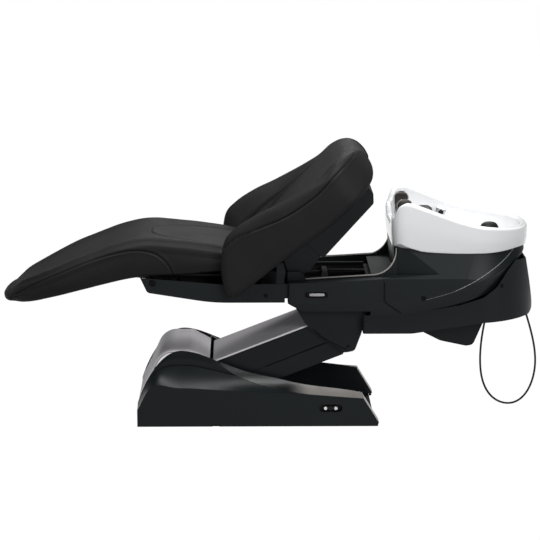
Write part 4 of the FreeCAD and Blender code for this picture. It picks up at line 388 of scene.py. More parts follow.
# Looks of the finishes: name, grain scales, dark and light colour or else a colour setting with the shares of
# its dark and light, roughness from and to, strength and depth of the bump, and what differs from plain plastic
LOOKS = {
    # The hide gets painted shade along its seam grooves
    "hide": ("Matt black hide", (520, 7), ("hide", 0.88, 1.12), (0.52, 0.64), (0.20, 0.0006),
             {"level": 0.12, "painted_seam_shade": True}),
    "cover": ("Black moulded cover", (1400, 5), ("cover", 0.9, 1.1), (0.40, 0.52), (0.12, 0.0003),
              {"level": 0.15}),
    "cover_satin": ("Satin black cover", (1400, 5), ("cover", 0.9, 1.1), (0.30, 0.40), (0.08, 0.0003),
                    {"level": 0.14}),
    "hood": ("Metallic grey paint", (1900, 4), ("hood", 0.94, 1.06), (0.46, 0.56), (0.16, 0.0002),
             {"metallic": 0.1, "level": 0.3}),
    "trim": ("Champagne strip", (1500, 9), ((0.30, 0.28, 0.265), (0.38, 0.355, 0.34)), (0.28, 0.36),
             (0.08, 0.0002), {"metallic": 0.5}),
    # The ear strip is a darker, painted-shaded copy of the champagne trim, with a painted shadow of the arm at
    # its front
    "ear_strip": ("Champagne strip on the ears", (1500, 9), ((0.20, 0.19, 0.18), (0.26, 0.245, 0.235)),
                  (0.30, 0.38), (0.08, 0.0002), {"metallic": 0.3, "painted_shadow_span": (0.105, 0.215)}),
    "glaze": ("White glazed ceramic", (60, 3), ("glaze", 0.985, 1.0), (0.1, 0.16), (0.02, 0.0006),
              {"coat": 0.5}),
    "chrome": ("Polished chrome", (500, 12), ((0.72, 0.72, 0.74), (0.8, 0.8, 0.82)), (0.05, 0.1),
               (0.02, 0.0002), {"metallic": 1.0}),
    "steel": ("Ground steel", (900, 14), ((0.16, 0.16, 0.165), (0.22, 0.22, 0.225)), (0.25, 0.4),
              (0.1, 0.0002), {"metallic": 1.0}),
    "frame": ("Black powder coat", (1100, 8), ((0.006, 0.0065, 0.007), (0.010, 0.0105, 0.011)), (0.45, 0.58),
              (0.25, 0.0004), {"level": 0.12}),
    "rubber": ("Black rubber", (1500, 20), ((0.006, 0.006, 0.006), (0.010, 0.010, 0.010)), (0.45, 0.6),
               (0.15, 0.0003), {"level": 0.15}),
    "hose": ("Black hose", (1500, 20), ((0.006, 0.006, 0.006), (0.011, 0.011, 0.011)), (0.35, 0.45),
             (0.1, 0.0003), {"level": 0.2}),
    "soft_pad": ("Dark moulded urethane", (800, 12), ((0.016, 0.014, 0.013), (0.026, 0.023, 0.0215)),
                 (0.4, 0.52), (0.2, 0.0004), {"level": 0.3}),
    "piping": ("Pale edge piping", (900, 15), ((0.30, 0.28, 0.26), (0.42, 0.39, 0.37)), (0.4, 0.5),
               (0.1, 0.0003), {}),
    "void": ("Joint black", (1500, 20), ((0.0015, 0.0015, 0.0015), (0.0025, 0.0025, 0.0025)), (0.5, 0.6),
             (0.1, 0.0003), {"level": 0.08}),
    # Pale grey that paints a highlight line along a crease
    "edge": ("Satin edge", (1500, 20), ((0.10, 0.10, 0.10), (0.14, 0.14, 0.14)), (0.3, 0.4), (0.1, 0.0003),
             {"level": 0.3}),
    "plate": ("Brushed plate", (900, 20), ((0.26, 0.265, 0.29), (0.34, 0.345, 0.37)), (0.25, 0.35),
              (0.1, 0.0002), {"metallic": 0.3}),
    "bright": ("Bright switch pad", (900, 20), ((0.62, 0.64, 0.66), (0.72, 0.74, 0.76)), (0.2, 0.3),
               (0.05, 0.0002), {}),
    "waste": ("Grey waste pipe", (900, 12), ((0.10, 0.10, 0.105), (0.14, 0.14, 0.145)), (0.35, 0.45),
              (0.08, 0.0003), {}),
    "webbing": ("Black webbing", (700, 30), ((0.012, 0.013, 0.014), (0.022, 0.024, 0.026)), (0.7, 0.85),
                (0.5, 0.0008), {"level": 0.1}),
}
NODES_IN = {
    "frame": ("base_plate", "pivot_cheeks", "cylinder_post", "lift_cylinder", "lower_arm", "upper_arm",
              "chassis_rails", "frame_brackets", "seat_frame", "slide_rod", "leg_board", "back_frame",
              "back_board"),
    "cover": ("lower_arm_cover", "upper_arm_sides", "bracket_covers", "rail_cover_left", "rail_cover_right",
              "tub_shell", "tub_skirt", "drain_lobe", "seat_undercover", "back_shell", "back_sleeve"),
    "cover_satin": ("side_fairing_left", "side_fairing_right"),
    "hood": ("base_hood", "arm_top_cover"),
    "ear_strip": ("ear_trims",),
    "trim": ("rail_trims",),
    "steel": ("lower_pivot_pins", "upper_pivot_pins", "head_pad_arm", "recline_rod"),
    "chrome": ("lift_rod", "mixer_body", "mixer_lever"),
    "rubber": ("power_pack", "switch_housing", "switch_rocker", "shower_holder", "hand_shower",
               "leg_gearmotor"),
    "void": ("chassis_cross_members", "slide_rails", "slide_actuator", "recline_actuator"),
    "bright": ("switch_pads",),
    "glaze": ("basin",),
    "waste": ("drain_pipe", "hair_trap"),
    "soft_pad": ("neck_rest", "head_pad"),
    "hose": ("shower_hose",),
    "webbing": ("back_straps",),
    "hide": ("seat_cushion", "leg_cushion", "back_cushion", "wing_left", "wing_right"),
}
FINISHES = {}


def build_finishes(colours):
    """Every finish of LOOKS as a material, with the user's colours where a look names one."""
    moulded = moulded_group()
    leather = leather_group()
    for key, (name, scales, pair, rough, bump, more) in LOOKS.items():
        if isinstance(pair[0], str):
            base = tuple(getattr(colours, pair[0]))
            pair = [tuple(min(1.0, v * share) for v in base) for share in pair[1:]]
        FINISHES[key] = finish(name, leather if key == "hide" else moulded, scales, *pair, rough, bump, **more)


class BED_OT_finishes(Operator):
    """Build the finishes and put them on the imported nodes."""

    bl_idname = "wash_bed.finishes"
    bl_label = "Finishes"

    def execute(self, context):
        build_finishes(context.scene.wash_bed_colours)
        for key, nodes in NODES_IN.items():
            for node in nodes:
                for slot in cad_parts[node].material_slots:
                    slot.material = FINISHES[key]
        return {"FINISHED"}


# Upholstery

# A seam's channel: place and width of the swell beside it, in seam widths, the swell's share of the depth, and
# the width of the painted shade along the seam groove
SWELL_PLACE, SWELL_WIDTH, SWELL_SHARE = 2.4, 1.5, 0.3
SEAM_SHADE_WIDTH = 0.62
RIPPLE_HEIGHT, RIPPLE_LENGTH, RIPPLE_SEED = 0.0006, 0.06, 11
HEAD_START = (0.252, 0.976)
HEAD_SLOPE = math.radians(40.0)
HEAD_LENGTH = 0.172
SEAT_TIP = (-0.988, 0.486)
# Seat stations in metres: x, outer half width, height of the crest, height of the lower edge
SEAT_STATIONS = (
    (-0.950, 0.123, 0.515, 0.468), (-0.925, 0.142, 0.536, 0.469), (-0.900, 0.158, 0.555, 0.472),
    (-0.850, 0.188, 0.579, 0.485), (-0.800, 0.214, 0.603, 0.501), (-0.750, 0.230, 0.627, 0.516),
    (-0.700, 0.238, 0.650, 0.530), (-0.650, 0.241, 0.670, 0.543), (-0.600, 0.241, 0.690, 0.556),
    (-0.550, 0.241, 0.709, 0.568), (-0.500, 0.241, 0.7235, 0.579), (-0.450, 0.241, 0.733, 0.587),
    (-0.400, 0.241, 0.735, 0.590), (-0.350, 0.241, 0.731, 0.592), (-0.300, 0.241, 0.726, 0.594),
    (-0.250, 0.241, 0.721, 0.598), (-0.200, 0.241, 0.714, 0.6035), (-0.140, 0.241, 0.705, 0.608),
    (-0.084, 0.237, 0.694, 0.612))
STATION_HALF = 0.241
# Side seam from the toe, over the knee and down, as x, z
SEAT_SIDE_SEAM = (
    (-0.930, 0.503), (-0.858, 0.547), (-0.790, 0.584), (-0.725, 0.614), (-0.661, 0.642), (-0.597, 0.664),
    (-0.534, 0.681), (-0.484, 0.690), (-0.434, 0.690), (-0.390, 0.678), (-0.358, 0.656), (-0.333, 0.623),
    (-0.324, 0.594))
# Seat section: height of the upper roll, radius of the lower corners, bulge of the sides, depth of the dish
SEAT_DROP, SEAT_FOOT, SEAT_BULGE, SEAT_DISH = 0.050, 0.014, 0.004, 0.0085
BULGE_THICKNESS, DISH_THICKNESS = 0.14, 0.10
DISH_REACH, DISH_POWER = 0.16, 1.7
# The toe: half width from which the sections turn rounder and over how much, and how much rounder
NOSE_HALF, NOSE_FADE, NOSE_FOOT, NOSE_ROLL = 0.185, 0.075, 0.020, 0.02
# Waves over the upper roll: height, angle and width of each
SEAT_SWAY = ((0.0022, 1.34, 0.16), (-0.0036, 0.92, 0.20), (0.0015, 0.45, 0.25))
# Seat panel: rear end, length of its round front, half width, and where its seam leaves it
PANEL_REAR, PANEL_LENGTH, PANEL_HALF, PANEL_END = -0.092, 0.322, 0.165, -0.08
# Side outlines of the back in metres, matched point by point from the front lower corner over the crest to the
# rear: the middle of the panel, then the wing
BACK_OUTLINES = (
    ((-0.040, 0.600), (-0.105, 0.524)), ((-0.055, 0.608), (-0.125, 0.560)),
    ((-0.064, 0.622), (-0.136, 0.608)), ((-0.066, 0.642), (-0.137, 0.652)),
    ((-0.058, 0.660), (-0.131, 0.696)), ((-0.038, 0.680), (-0.117, 0.744)),
    ((-0.012, 0.706), (-0.081, 0.782)), ((0.025, 0.748), (-0.014, 0.827)),
    ((0.085, 0.812), (0.089, 0.878)), ((0.148, 0.876), (0.165, 0.920)), ((0.194, 0.922), (0.210, 0.948)),
    ((0.240, 0.974), (0.252, 0.976)), ((0.290, 1.028), (0.300, 1.023)), ((0.335, 1.058), (0.342, 1.049)),
    ((0.360, 1.063), (0.362, 1.055)), ((0.383, 1.056), (0.383, 1.053)), ((0.405, 1.039), (0.405, 1.038)),
    ((0.422, 1.014), (0.423, 1.012)), ((0.429, 0.996), (0.431, 0.995)), ((0.430, 0.976), (0.433, 0.975)),
    ((0.424, 0.958), (0.428, 0.957)), ((0.413, 0.943), (0.419, 0.944)), ((0.380, 0.903), (0.388, 0.906)),
    ((0.335, 0.858), (0.342, 0.862)), ((0.265, 0.798), (0.268, 0.794)), ((0.195, 0.742), (0.194, 0.737)),
    ((0.125, 0.690), (0.119, 0.684)), ((0.060, 0.640), (0.044, 0.625)),
    ((0.010, 0.602), (-0.031, 0.565)), ((-0.018, 0.592), (-0.078, 0.530)))
OUTLINE_STEPS = 13
# Shares of the half width: even steps to the panel's edge, where the wing starts and is reached, and its crest
PANEL_EDGE = 0.66
WING_START, WING_REACHED = 0.70, 0.93
CREST_PLACE, CREST_WIDTH, CREST_HEIGHT = 0.925, 0.045, 0.004
# The roll of the wings is deeper over these outline points, from none to full and back to none
DEEP_RISE, DEEP_FALL, DEEPER = (2.5, 5.5), (8.0, 11.0), 1.1
WING_BULGE = 0.002
# Piping seam on the wing's outer face, as x, z
WING_SEAM = (
    (-0.128, 0.712), (-0.087, 0.750), (-0.045, 0.768), (0.025, 0.797), (0.072, 0.816), (0.119, 0.840),
    (0.165, 0.870), (0.212, 0.906), (0.245, 0.938), (0.286, 0.984), (0.329, 1.021), (0.362, 1.048))
# Seams of the back's panel: share of the half width, lowest and highest point
BACK_SEAM_SHARE, BACK_SEAM_LOW, BACK_SEAM_HIGH = 0.775, 0.60, 0.955


def ripple(x, y, seed, scale):
    """Soft irregular wave of unit size: a sum of sines with fixed phases from seed."""
    total = np.zeros_like(x)
    rng = np.random.default_rng(seed)
    for _ in range(7):
        kx, ky = rng.normal(0, 1, 2) / scale
        total = total + np.sin(kx * x + ky * y + rng.uniform(0, 6.28))
    return total / 3.5


def outward(rings):
    """Unit normals of closed rings (k, m, 3) from central differences, pointing away from the body, and whether
    the rings run the other way."""
    around = np.roll(rings, -1, axis=1) - np.roll(rings, 1, axis=1)
    normal = np.cross(around, np.gradient(rings, axis=0))
    normal /= np.linalg.norm(normal, axis=2)[..., None] + 1e-12
    middle = rings.reshape(-1, 3).mean(axis=0)
    flip = bool(np.sum(normal * (rings - middle)) < 0)
    return (-normal if flip else normal), flip


def seam_distance(points, path):
    """Shortest distance of each point (n, 2) to a polyline (m, 2)."""
    best = np.full(len(points), 1e9)
    for a, b in zip(path[:-1], path[1:]):
        d = b - a
        t = np.clip(((points - a) @ d) / (d @ d + 1e-12), 0, 1)
        best = np.minimum(best, np.linalg.norm(points - (a + t[:, None] * d), axis=1))
    return best


def sewn(verts, normals, lines, sizes):
    """Vertices drawn in along their normals at each seam, and how much painted shade each one gets from how near
    it lies to a seam, 0 to 1.
    At distance d from a seam of width w the depth is exp(-(d/w)^2) less a swell of the same form beside it."""
    amount = np.zeros(len(verts))
    seam_shade_mark = np.zeros(len(verts))
    width = sizes.seam_width
    for path, axes, mask in lines:
        d = seam_distance(verts[:, axes], np.asarray(path))
        swell = SWELL_SHARE * np.exp(-((d - SWELL_PLACE * width) / (SWELL_WIDTH * width)) ** 2)
        amount += sizes.seam_depth * mask * (np.exp(-(d / width) ** 2) - swell)
        # Share of painted shade, near 1 in a seam's groove
        seam_shade_mark = np.maximum(seam_shade_mark, mask * np.exp(-(d / (SEAM_SHADE_WIDTH * width)) ** 2))
    amount += ripple(verts[:, 0] + verts[:, 2], verts[:, 1], RIPPLE_SEED, RIPPLE_LENGTH) * RIPPLE_HEIGHT
    return verts - normals * amount[:, None], seam_shade_mark


def hide_solid(name, rings, make_lines, sizes):
    """Sewn hide over closed rings (k, m, 3). make_lines gives the seams for its vertices and their normals, and
    the painted seam shade of each vertex is kept as an attribute that darkens the hide's colour in the seam
    grooves."""
    normal, flip = outward(rings)
    verts = rings.reshape(-1, 3)
    norms = normal.reshape(-1, 3)
    verts, seam_shade_mark = sewn(verts, norms, make_lines(verts, norms), sizes)
    obj = ringed_solid(name, verts.reshape(rings.shape), FINISHES["hide"], flip)
    values = np.zeros(len(obj.data.vertices))
    values[:len(seam_shade_mark)] = seam_shade_mark
    obj.data.attributes.new("seam", "FLOAT", "POINT").data.foreach_set("value", values)
    return obj


def seat_sections(half, low, high, roll):
    """Sections of the seat, one row per station: flat below, small lower corners, gently bulged sides, wide
    upper rolls and a shallow dish between two crests. Both rolls are quarter ellipses."""
    thick = high - low
    drop = np.minimum(SEAT_DROP, 0.5 * thick)
    nose = smooth_step(NOSE_HALF - half, 0.0, NOSE_FADE)
    foot = np.minimum(SEAT_FOOT + NOSE_FOOT * nose, (0.35 + 0.13 * nose) * thick)
    wide = np.minimum(roll + NOSE_ROLL * nose, 0.5 * half)
    y = []
    z = []
    for v in np.linspace(0, 1, 9)[:-1]:
        y.append((half - foot) * v)
        z.append(low + 0 * half)
    for t in np.linspace(0, math.pi / 2, 8)[:-1]:
        y.append(half - foot + foot * math.sin(t))
        z.append(low + foot * (1 - math.cos(t)))
    for v in np.linspace(0, 1, 26)[:-1]:
        y.append(half + SEAT_BULGE * np.sqrt(thick / BULGE_THICKNESS) * math.sin(math.pi * v))
        z.append(low + foot + (thick - foot - drop) * v)
    for t in np.linspace(0, math.pi / 2, 26)[:-1]:
        sway = sum(rise * math.exp(-((t - at) / width) ** 2) for rise, at, width in SEAT_SWAY) * (1 - nose)
        y.append(half - wide * (1 - math.cos(t)) + sway * math.cos(t))
        z.append(high - drop + drop * math.sin(t) + sway * math.sin(t))
    for v in np.linspace(0, 1, 84):
        sunk = 1 - math.exp(-(v / DISH_REACH) ** DISH_POWER)
        y.append((half - wide) * (1 - v))
        z.append(high - SEAT_DISH * np.minimum(1, thick / DISH_THICKNESS) * sunk * (1 - nose))
    y = np.stack(y, axis=1)
    z = np.stack(z, axis=1)
    return (np.concatenate([y, -y[:, -2:0:-1]], axis=1), np.concatenate([z, z[:, -2:0:-1]], axis=1))


def seat_rings(sizes):
    """Rings of the seat from the toe to the back. Beyond the first station the half width and both heights close
    on the tip as powers of 1 - s^q, with s the share of the way."""
    table = np.array(SEAT_STATIONS)
    first = table[0, 0]
    near = 1 - (1 - np.linspace(0, 1, 30)) ** 2
    toe = (first + (SEAT_TIP[0] - first) * near)[::-1]
    x = np.concatenate([toe[:-1], np.linspace(first, table[-1, 0], 290)])
    soft = line_through(table, 12)
    half = np.interp(x, soft[:, 0], soft[:, 1]) * (sizes.seat_half / STATION_HALF)
    high = np.interp(x, soft[:, 0], soft[:, 2])
    low = np.interp(x, soft[:, 0], soft[:, 3])
    share = 0.9995 * np.clip((first - x) / (first - SEAT_TIP[0]), 0, 1)
    half = half * np.sqrt(1 - share ** 2.2)
    high = SEAT_TIP[1] + (high - SEAT_TIP[1]) * (1 - share ** 1.1) ** 0.66
    low = SEAT_TIP[1] + (low - SEAT_TIP[1]) * np.sqrt(1 - share ** 1.7)
    y, z = seat_sections(half, low, high, sizes.seat_roll)
    return np.stack([np.repeat(x[:, None], y.shape[1], axis=1), y, z], axis=2)


def seat_lines(verts, norms):
    """Seams of the seat: round its panel on the upper side, and along both sides."""
    t = np.linspace(-1, 1, 61)
    front = PANEL_REAR - PANEL_LENGTH * np.sqrt(np.clip(1 - np.abs(t) ** 3.0, 0, 1))
    panel = np.vstack([[PANEL_END, -PANEL_HALF], np.stack([front, PANEL_HALF * t], axis=1),
                       [PANEL_END, PANEL_HALF]])
    upper = smooth_step(norms[:, 2], 0.35, 0.6)
    side = smooth_step(np.abs(norms[:, 1]), 0.45, 0.8)
    return ((panel, [0, 1], upper), (line_through(SEAT_SIDE_SEAM, 8), [0, 2], side))


class BED_OT_seat(Operator):
    """Seat and leg rest cushion as one hide that bends over the knee."""

    bl_idname = "wash_bed.seat"
    bl_label = "Seat and Leg Rest"

    def execute(self, context):
        sizes = context.scene.wash_bed_sizes
        obj = hide_solid("seat_hide", seat_rings(sizes), seat_lines, sizes)
        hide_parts("seat_cushion", "leg_cushion")
        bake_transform(obj)
        return {"FINISHED"}


def head_width(x, z, half):
    """Half width of the back at a side-view place: full below the head, half * sqrt(1 - (u / length)^2) up it,
    with u measured along the head's slope."""
    u = (x - HEAD_START[0]) * math.cos(HEAD_SLOPE) + (z - HEAD_START[1]) * math.sin(HEAD_SLOPE)
    share = np.clip(u / HEAD_LENGTH, 0, 0.996)
    return half * np.sqrt(1 - share ** 2)


def back_rings(sizes):
    """Side outlines of the back from its left face through the middle to its right face. The outline goes from
    the panel's to the wing's across the width, the wing's edge is drawn in by a roll, and the outer face closes
    on its middle."""
    pairs = np.array(BACK_OUTLINES)
    pad = loop_through(pairs[:, 0], OUTLINE_STEPS)
    wing = loop_through(pairs[:, 1], OUTLINE_STEPS)
    outer = sizes.wing_outer
    roll = sizes.wing_roll
    turn = np.linspace(0, math.pi / 2, 12)[1:]
    flat_places = np.concatenate([np.linspace(0, PANEL_EDGE, 20),
                                  np.linspace(PANEL_EDGE, 1 - roll / outer, 42)[1:]])
    places = np.concatenate([flat_places, 1 - roll / outer * (1 - np.sin(turn))])
    drawn = np.concatenate([np.zeros(len(flat_places)), roll * (1 - np.cos(turn))])
    along = np.arange(len(wing)) / OUTLINE_STEPS
    deeper = 1 + DEEPER * (smooth_step(along, *DEEP_RISE) * (1 - smooth_step(along, *DEEP_FALL)))
    half = []
    for place, inset in zip(places, drawn):
        share = smooth_step(place, WING_START, WING_REACHED)
        crest = CREST_HEIGHT * math.exp(-((place - CREST_PLACE) / CREST_WIDTH) ** 2)
        ring = inset_loop(pad * (1 - share) + wing * share, (inset - crest) * (deeper if inset > 0 else 1.0))
        y = place * head_width(ring[:, 0], ring[:, 1], outer)
        half.append(np.stack([ring[:, 0], y, ring[:, 1]], axis=1))
    edge = half[-1][:, [0, 2]]
    middle = edge.mean(axis=0)
    for share in np.concatenate([1 - 0.30 * np.linspace(0, 1, 15)[1:], np.linspace(0.70, 0.04, 9)[1:]]):
        flat = middle + (edge - middle) * share
        y = head_width(flat[:, 0], flat[:, 1], outer) + WING_BULGE * (1 - share ** 2)
        half.append(np.stack([flat[:, 0], y, flat[:, 1]], axis=1))
    right = np.array(half)
    left = right[:0:-1] * np.array([1.0, -1.0, 1.0])
    return np.concatenate([left, right])


def back_lines(half):
    """Maker of the back's seams: on the outer faces of the wings, and up both edges of the panel."""
    def lines(verts, norms):
        side = smooth_step(norms[:, 1] * np.sign(verts[:, 1]), 0.03, 0.3)
        side = side * (1 - 0.7 * smooth_step(verts[:, 2], 0.98, 1.03))
        front = smooth_step(norms[:, 2] - norms[:, 0], 0.1, 0.5)
        height = np.linspace(BACK_SEAM_LOW, BACK_SEAM_HIGH, 50)
        across = np.full(50, BACK_SEAM_SHARE * half)
        edges = [(np.stack([height, sign * across], axis=1), [2, 1], front) for sign in SIDES]
        return [(line_through(WING_SEAM, 8), [0, 2], side)] + edges
    return lines


class BED_OT_back(Operator):
    """Back rest with its wings as one hide."""

    bl_idname = "wash_bed.back"
    bl_label = "Back and Wings"

    def execute(self, context):
        sizes = context.scene.wash_bed_sizes
        obj = hide_solid("back_hide", back_rings(sizes), back_lines(sizes.wing_outer), sizes)
        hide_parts("back_cushion", "wing_left", "wing_right")
        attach(obj, "back")
        return {"FINISHED"}


# Basin

RIM_X = (0.500, 0.515, 0.523, 0.532, 0.553, 0.578, 0.600, 0.647, 0.694, 0.733, 0.764, 0.829, 0.925, 1.000, 1.060)
RIM_Z = (0.790, 0.814, 0.837, 0.854, 0.866, 0.864, 0.857, 0.841, 0.824, 0.810, 0.800, 0.782, 0.769, 0.762, 0.758)
FOOT_X = (0.500, 0.513, 0.533, 0.550, 0.570, 0.600, 0.631, 0.715, 0.800, 0.884, 0.947, 1.000, 1.050)
FOOT_Z = (0.692, 0.695, 0.706, 0.7015, 0.695, 0.686, 0.679, 0.6735, 0.672, 0.674, 0.679, 0.684, 0.682)
# Neck notch: its floor, half widths and places along x between which it fades out
NOTCH_FLOOR, NOTCH_SIDES, NOTCH_REACH = 0.768, (0.070, 0.158), (0.545, 0.590)
BASIN_POINTS = 420
BASIN_FRONT, BASIN_REAR, BASIN_HALF, BASIN_WALL = 0.507, 1.044, 0.2285, 0.023
# Plans of the basin: front, rear, half width, radius of the front and of the rear corners
BASIN_PLANS = {
    "outer": (BASIN_FRONT, BASIN_REAR, BASIN_HALF, 0.070, 0.206),
    "foot": (0.5115, 1.0385, 0.2245, 0.066, 0.202),
    "seat": (0.520, 1.030, 0.214, 0.060, 0.195),
    "inner": (BASIN_FRONT + BASIN_WALL, BASIN_REAR - BASIN_WALL, BASIN_HALF - BASIN_WALL, 0.052, 0.186),
    "deep": (0.553, 1.000, 0.180, 0.060, 0.160),
    "floor": (0.645, 0.935, 0.125, 0.100, 0.105),
    "low": (0.700, 0.880, 0.070, 0.068, 0.068),
    "lip": (0.778, 0.822, 0.022, 0.0215, 0.0215),
    "drain": (0.785, 0.815, 0.015, 0.0148, 0.0148),
    "under": (0.632, 0.948, 0.138, 0.105, 0.11),
}
# Rings under the basin from the drain outwards, and in its bowl towards the drain: plan, height, and the plan
# it leans to with its share
BASIN_UNDER = (("drain", 0.596), ("drain", 0.595, "under", 0.5), ("under", 0.600), ("seat", 0.6932),
               ("seat", 0.6934, "foot", 0.35))
BASIN_BOTTOM = (("floor", 0.6185), ("low", 0.6105), ("low", 0.6085, "drain", 0.35), ("lip", 0.6068),
                ("drain", 0.604))
DEEP_HEIGHT, FLOOR_HEIGHT = 0.690, 0.622
DRAIN_CENTRE = (0.8, 0, 0.6078)
STRAINER = ((0.0005, 0.0035), (0.014, 0.003), (0.0195, 0.0015), (0.021, 0.0))


def rim_height(x, y):
    """Height of the rim: a falling line along the basin with a soft notch for the neck in front."""
    table = line_through(np.stack([RIM_X, RIM_Z], axis=1), 30)
    coarse = np.interp(x, table[:, 0], table[:, 1])
    inside = 1 - smooth_step(np.abs(y), *NOTCH_SIDES)
    front = 1 - smooth_step(x, *NOTCH_REACH)
    return coarse - inside * front * (coarse - NOTCH_FLOOR)


def basin_rings(r):
    """Rings of the basin from the drain's underside out to the foot, up the wall, over a half-round rim of
    radius r, down the bowl and back to the drain."""
    plans = {name: rounded_plan(*sizes, BASIN_POINTS) for name, sizes in BASIN_PLANS.items()}
    x, y = plans["outer"].T
    edge = rim_height(x, y) - r
    line = line_through(np.stack([FOOT_X, FOOT_Z], axis=1), 20)
    base = np.interp(x, line[:, 0], line[:, 1])
    rings = []

    def ring(plan, z, other="drain", share=0.0):
        flat = plans[plan] * (1 - share) + plans[other] * share
        rings.append(np.stack([flat[:, 0], flat[:, 1], np.broadcast_to(z, BASIN_POINTS)], axis=1))
    for row in BASIN_UNDER:
        ring(*row)
    ring("foot", base + 0.0006, "seat", 0.2)
    ring("foot", base)
    for v in np.linspace(0.05, 1.0, 14):
        ring("foot", base + v * (edge - base), "outer", math.sin(min(v * 1.5, 1.0) * math.pi / 2))
    for a in np.linspace(0, math.pi, 11)[1:-1]:
        ring("outer", edge + r * math.sin(a), "inner", (1 - math.cos(a)) / 2)
    for v in np.linspace(0, 1, 14)[:-1]:
        ring("inner", edge * (1 - v) + DEEP_HEIGHT * v, "deep", v ** 1.6)
    for v in np.linspace(0, 1, 10)[:-1]:
        fall = math.sin(v * math.pi / 2) ** 0.9
        ring("deep", DEEP_HEIGHT + (FLOOR_HEIGHT - DEEP_HEIGHT) * fall, "floor", v)
    for row in BASIN_BOTTOM:
        ring(*row)
    return np.array(rings)


class BED_OT_basin(Operator):
    """Glazed basin with a rounded rim, a bowl, a drain and a notch for the neck."""

    bl_idname = "wash_bed.basin"
    bl_label = "Basin"

    def execute(self, context):
        rings = basin_rings(context.scene.wash_bed_sizes.rim_round)
        k, m, _ = rings.shape
        back_to_first = ring_quads(k + 1, m) % (k * m)
        faces = [face[::-1] for face in back_to_first.tolist()]
        obj = add_object("basin_glazed", rings.reshape(-1, 3), faces, FINISHES["glaze"])
        sub = obj.modifiers.new("Round", "SUBSURF")
        sub.levels = 1
        sub.render_levels = 1
        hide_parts("basin")
        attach(obj, "bed_frame")
        strainer = revolve("drain_strainer", STRAINER, DRAIN_CENTRE, FINISHES["chrome"])
        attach(strainer, "bed_frame")
        return {"FINISHED"}


# Fittings in the basin

NECK_X = 0.5640
# One side of the neck rest's front view as y, z, and its middle
NECK_SIDE = ((0.094, 0.861), (0.097, 0.838), (0.095, 0.812), (0.083, 0.794), (0.060, 0.7850), (0.030, 0.782))
NECK_MIDDLE = (0.0, 0.7815)
# Half length and half thickness of its section with the powers that square them, and the lengths over which
# the ends round off
NECK_HALF_LENGTH, NECK_HALF_THICK = 0.0285, 0.0125
NECK_POWERS = (0.55, 0.7)
NECK_ENDS = (0.024, 0.011)
PIPING_RADIUS, PIPING_OUT, PIPING_IN = 0.0018, 0.0275, 0.0075
PAD_CENTRE, PAD_SIZE = (0.648, 0, 0.800), (0.030, 0.061, 0.0165)
CUBE_CENTRE, CUBE_SIZE, CUBE_TILT = (0.7235, 0.150, 0.7675), (0.0215, 0.0205, 0.0215), 0.22
KNOB_CENTRE, KNOB_RADIUS, KNOB_DEPTH = (0.724, 0.1288, 0.768), 0.0105, 0.004
SHOWER_CENTRE = (0.902, 0, 0.738)
SHOWER_PROFILE = (
    (0.0122, -0.053), (0.0122, -0.020), (0.015, -0.0125), (0.0345, -0.0125), (0.0358, -0.009),
    (0.0352, -0.002), (0.031, 0.007), (0.022, 0.0135), (0.011, 0.0165), (0.0004, 0.0172))


def rounded_end(left, length, least):
    """Share of a section's size at distance left from an end: a quarter circle over length, never below the
    square root of least."""
    return np.sqrt(np.clip(1 - np.clip(1 - left / length, 0, 1) ** 2, least, 1))


def neck_rest():
    """U-shaped neck rest: a squared section along the U, with a pale piping on both edges."""
    mirrored = [(-y, z) for y, z in NECK_SIDE]
    curve = line_through(mirrored + [NECK_MIDDLE] + list(NECK_SIDE[::-1]), 14)
    path = np.stack([np.zeros(len(curve)), curve[:, 0], curve[:, 1]], axis=1)
    ahead = directions(path)
    inward = np.stack([0 * ahead[:, 0], -ahead[:, 2], ahead[:, 1]], axis=1)
    step = np.concatenate([[0], np.cumsum(np.linalg.norm(np.diff(path, axis=0), axis=1))])
    left = np.minimum(step, step[-1] - step)
    wide = rounded_end(left, NECK_ENDS[0], 0.004)
    thin = rounded_end(left, NECK_ENDS[1], 0.01)
    angle = np.linspace(0, 2 * math.pi, 40, endpoint=False)
    section_x = NECK_HALF_LENGTH * squared(np.cos(angle), NECK_POWERS[0])
    section_in = NECK_HALF_THICK * squared(np.sin(angle), NECK_POWERS[1])
    centre = np.array([NECK_X, 0, 0])
    rings = (path[:, None] + centre
             + wide[:, None, None] * section_x[None, :, None] * np.array([1.0, 0, 0])
             + thin[:, None, None] * section_in[None, :, None] * inward[:, None])
    neck = ringed_solid("neck_rest_pad", rings, FINISHES["soft_pad"])
    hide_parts("neck_rest")
    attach(neck, "bed_frame")
    for i, sign in enumerate(SIDES):
        bead = path + centre + inward * PIPING_IN
        bead[:, 0] += sign * PIPING_OUT * wide
        tube = tube_along("neck_rest_piping_%d" % i, bead[1:-1], PIPING_RADIUS, FINISHES["piping"], 8)
        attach(tube, "bed_frame")


class BED_OT_fittings(Operator):
    """Neck rest, head pad, square mixer handle with its dark disc, and dome-headed hand shower."""

    bl_idname = "wash_bed.fittings"
    bl_label = "Basin Fittings"

    def execute(self, context):
        neck_rest()
        pad = pillow("head_pad_cushion", PAD_CENTRE, PAD_SIZE, FINISHES["soft_pad"], 2.8)
        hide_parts("head_pad")
        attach(pad, "bed_frame")
        cube = pillow("mixer_cube", CUBE_CENTRE, CUBE_SIZE, FINISHES["chrome"], 7.0, 36, 64, CUBE_TILT)
        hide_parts("mixer_lever")
        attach(cube, "mixer_lever")
        knob = side_cap("mixer_knob", KNOB_CENTRE, KNOB_RADIUS, KNOB_DEPTH, -1, FINISHES["rubber"])
        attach(knob, "mixer_lever")
        dome = revolve("hand_shower_head", SHOWER_PROFILE, SHOWER_CENTRE, FINISHES["rubber"], 64)
        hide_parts("hand_shower")
        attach(dome, "hand_shower")
        return {"FINISHED"}


